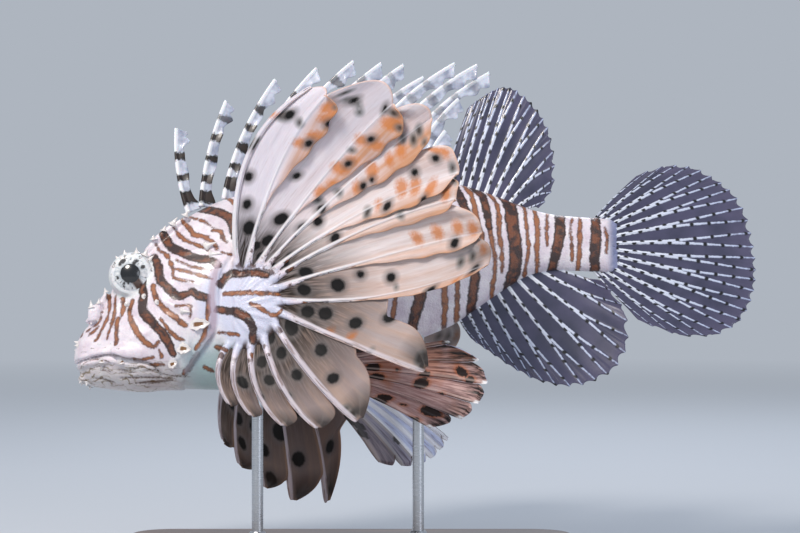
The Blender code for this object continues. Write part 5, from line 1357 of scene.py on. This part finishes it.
pelvic_finish, tree, shader = new_finish("painted_resin_pelvic_fin_satin")
lobe_number, along, run = read("lobe_number"), read("along"), read("run")
streak_at = add("CombineXYZ", {
    0: calc("MULTIPLY", read("web_share"), 5.0), 1: calc("MULTIPLY", run, 0.05),
    2: calc("MULTIPLY", lobe_number, 5.7),
})
streaks = noise(streak_at, 1.7, 4.0, 0.65)
in_mm = in_units(1000, 1000, 1000)
on_ray = calc("ABSOLUTE", read("ray_away"))
web = mix(ramp(streaks, 0.35, 0.65), "#A07470", "#D3AFA9")
web = mix(ramp(noise(in_mm, 0.07, 2.0), 0.5, 0.62, high=0.55), web, "#B0683A")
smoke = ramp(along, ramp(lobe_number, 1.5, 3.2, 0.45, 0.8), 1.0)
web = mix(calc("MULTIPLY", smoke, ramp(streaks, 0.4, 0.6, 1.3, 0.2)), web, "#26201F")
web = mix(ramp(run, 22.0, 6.0, high=0.6), web, "#5A3C34")
web = mix(ramp(read("spot"), 1.6, 0.0, high=0.7), web, "#B4602C")
spot_edge = frayed(read("spot"), noise(in_mm, 0.8, 3.0), -0.5, 0.5)
web = mix(ramp(spot_edge, 0.4, -0.3, high=0.97), web, "#100C0C")
web = mix(ramp(on_ray, 0.6, 0.2, high=0.3), web, "#E0C8BE")
web = mix(calc("MULTIPLY", ramp(along, 0.965, 0.98), ramp(on_ray, 1.2, 0.8)), web, "#F4F2F2")
# The inner face is bluish white with brown streaks and white rays, and brown over the foremost rays. Its
# bluish white is partly the fin's own pale colour and partly painted light shining through the thin fin.
pale = mix(ramp(streaks, 0.5, 0.35), "#CAD3F0", "#8C86A6")
pale = mix(ramp(calc("MINIMUM", on_ray, read("next_ray")), 1.7, 0.8), pale, "#F6F7FD")
brown = mix(ramp(streaks, 0.4, 0.6), "#4A3530", "#7A5C50")
pale = mix(ramp(lobe_number, 3.2, 4.2, high=0.8), pale, brown)
pale = mix(ramp(spot_edge, 0.4, -0.3, high=0.9), pale, "#1A1210")
connect(shader, {
    "Base Color": mix(read("inner_face"), web, pale), "Normal": bump(streaks, 0.3, 0.0003),
    "Roughness": 0.42, "Coat Weight": 0.15,
})

PELVIC_SHAPES = [(value,) * len(PELVIC_LEFT) for value in (0.965, 40, 1.1, 0.1, 1)]
paired_fin("pelvic_left_fan", "pelvic_fin_left", pelvic_rays(PELVIC_LEFT), PELVIC_SHAPES,
           (PELVIC_SPOTS, (), ()), pelvic_finish)
paired_fin("pelvic_right_fan", "pelvic_fin_right", pelvic_rays(PELVIC_RIGHT), PELVIC_SHAPES,
           (PELVIC_RIGHT_SPOTS, (), ()), pelvic_finish, other_side=True)


# Display stand.
# A rounded walnut board under satin lacquer, and two brushed steel rods, each seated in a turned collar
# and ending in the fish's belly.
WOOD_SIZE = (200.0, 112.0, 8.0)
WOOD_CENTRE = (-22.0, -6.0)
CORNER_ROUND = 18.0
EDGE_ROUND = 1.6
RODS = (("front", (-62.0, -11.0)), ("rear", (8.0, -7.5)))
ROD_RADIUS = 2.5
COLLAR = (
    # radius and height over the board
    (4.0, 0.05), (5.6, 0.05), (5.9, 0.5), (5.9, 2.4), (5.4, 3.0), (4.2, 3.6), (3.6, 5.2), (3.2, 5.8),
    (2.0, 5.8),
)


def stand_piece(made, finish, node):
    """A hard piece of the stand, its edges kept crisp."""
    dress(made, finish, (node,))
    made.data.set_sharp_from_angle(angle=math.radians(35))


def turned(profile, centre, sides=64):
    """A turned form about an upright axis: profile of (radius, height) in millimetres."""
    turn = np.arange(sides) * math.tau / sides
    rings = [
        np.stack([centre[0] + r * np.cos(turn), centre[1] + r * np.sin(turn), np.full(sides, z)], 1)
        for r, z in profile
    ]
    return lofted(rings)


wood_finish, tree, shader = new_finish("walnut_satin_lacquer")
# Walnut's grain runs along the board: rings 3 mm apart drawn out lengthwise, and fine dark pores.
place = add("TexCoord", out=3)
drawn = add("Mapping", {"Vector": place, "Scale": (18, 330, 330), "Rotation": (0.06, 0.02, 0.04)})
waves = add("TexNoise", {"Vector": drawn, "Scale": 0.55, "Detail": 5.0, "Roughness": 0.6, "Distortion": 0.6})
pores = noise(in_units(90, 2600, 2600), 1.0, 2.0)
wood = mix(ramp(waves, 0.35, 0.65), "#4A2E1E", "#7A5236")
connect(shader, {
    "Base Color": mix(ramp(pores, 0.6, 0.75, high=0.5), wood, "#2A190F"), "Normal": bump(pores, 0.15, 0.0002),
    "Roughness": 0.4, "Coat Weight": 0.35, "Coat Roughness": 0.18,
})

board = bmesh.new()
bmesh.ops.create_cube(board, size=1)
bmesh.ops.scale(board, vec=[size * 0.001 for size in WOOD_SIZE], verts=board.verts)
board_height = WOOD_SIZE[2] * 0.001
rises = {edge: abs(edge.verts[0].co.z - edge.verts[1].co.z) for edge in board.edges}
upright = [edge for edge, rise in rises.items() if rise > board_height / 2]
bmesh.ops.bevel(board, geom=upright, offset=CORNER_ROUND * 0.001, segments=16, profile=0.5, affect="EDGES")
rises = {edge: abs(edge.verts[0].co.z - edge.verts[1].co.z) for edge in board.edges}
rim = [edge for edge, rise in rises.items() if rise < 1e-6 and abs(edge.calc_face_angle(0)) > 0.5]
bmesh.ops.bevel(board, geom=rim, offset=EDGE_ROUND * 0.001, segments=5, profile=0.5, affect="EDGES")
centre = (WOOD_CENTRE[0] * 0.001, WOOD_CENTRE[1] * 0.001, board_height / 2)
bmesh.ops.translate(board, vec=centre, verts=board.verts)
wood_board = plain_object("stand_board", [], [])
board.to_mesh(wood_board.data)
board.free()
stand_piece(wood_board, wood_finish, "stand_base")

steel_finish, tree, shader = new_finish("stainless_steel_brushed")
# Brushing round the rod leaves fine rings, drawn here 0.4 mm apart so that they show.
rings = noise(in_units(60, 60, 2500), 1.0, 3.0)
connect(shader, {
    "Base Color": mix(rings, "#B9BCC0", "#D3D5D8"), "Normal": bump(rings, 0.1, 0.0001),
    "Roughness": ramp(rings, 0.3, 0.7, 0.22, 0.42), "Metallic": 1.0,
})

for end, place in RODS:
    node = f"stand_rod_{end}"
    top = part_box(node)[1][2] * 1000 + 0.6
    rod = turned([(ROD_RADIUS, height) for height in (WOOD_SIZE[2] + 0.3, 30, 60, top)], place)
    collar = turned([(radius, WOOD_SIZE[2] + height) for radius, height in COLLAR], place)
    points, faces = joined([rod, collar])
    stand_piece(plain_object(f"stand_{end}_rod", points * 0.001, faces), steel_finish, node)


# Room.
# A pale matt floor that fades into the pale surround, with soft lamps above and in front of the fish.
floor_finish, tree, shader = new_finish("pale_matt_floor")
surround = colour("#AEB5BF")
away = add("VectorMath", {0: add("TexCoord", out=3)}, operation="LENGTH", out=1)
connect(shader, {"Base Color": colour("#BFC4CA"), "Roughness": 0.85})
glow = add("Emission", {"Color": surround, "Strength": 1.0})
both = add("MixShader", {0: ramp(away, 0.5, 2.2), 1: shader.outputs[0], 2: glow})
connect(tree.nodes["Material Output"], {"Surface": both})
around = 96
turn = np.arange(around) * math.tau / around
rings = [np.stack([r * np.cos(turn), r * np.sin(turn), 0 * turn], 1) for r in (0.2, 0.5, 1.0, 2.2, 12.0)]
points = np.vstack([*rings, [[0, 0, 0]]])
here = np.arange(len(points) - 1).reshape(-1, around)
there = np.roll(here, -1, axis=1)
faces = np.stack([here[:-1], here[1:], there[1:], there[:-1]], -1).reshape(-1, 4).tolist()
faces += [(len(points) - 1, a, b) for a, b in zip(here[0], there[0])]
floor = plain_object("floor", points, faces)
floor.data.materials.append(floor_finish)

world = bpy.data.worlds.new("pale_surround")
world.use_nodes = True
tree = world.node_tree
connect(tree.nodes["Background"], {"Color": surround, "Strength": 1.0})
bpy.context.scene.world = world
bpy.context.scene.view_settings.view_transform = "Standard"


AIM = (0, 0, 0.13)
VIEW_WIDTH = 0.352
SENSOR_WIDTH = 36


def lamp(name, place, size, power, tint):
    """A soft round lamp aimed at the fish."""
    light = bpy.data.lights.new(name, "AREA")
    light.shape = "DISK"
    light.size = size
    light.energy = power
    light.color = colour(tint)[:3]
    made = bpy.data.objects.new(name, light)
    bpy.context.scene.collection.objects.link(made)
    made.location = place
    x, y, z = unit(np.subtract(AIM, place))
    made.rotation_euler = (math.acos(-z), 0, math.atan2(y, x) - math.pi / 2)


lamp("soft_key", (-0.45, -0.75, 0.95), 0.35, 11, "#FFF7F0")
lamp("soft_fill", (0.9, -0.9, 0.35), 0.7, 3, "#EAF1FF")
lamp("soft_back", (0.2, 0.9, 0.9), 0.6, 5, "#EFF4FF")

# The camera stands one metre in front of the fish's middle, level with it.
camera = bpy.data.objects.new("camera", bpy.data.cameras.new("camera"))
camera.data.sensor_width = SENSOR_WIDTH
camera.data.lens = SENSOR_WIDTH / VIEW_WIDTH
camera.location = (0, -1.0, FISH_HEIGHT * 0.001)
camera.rotation_euler = (math.pi / 2, 0, 0)
bpy.context.scene.collection.objects.link(camera)
bpy.context.scene.camera = camera
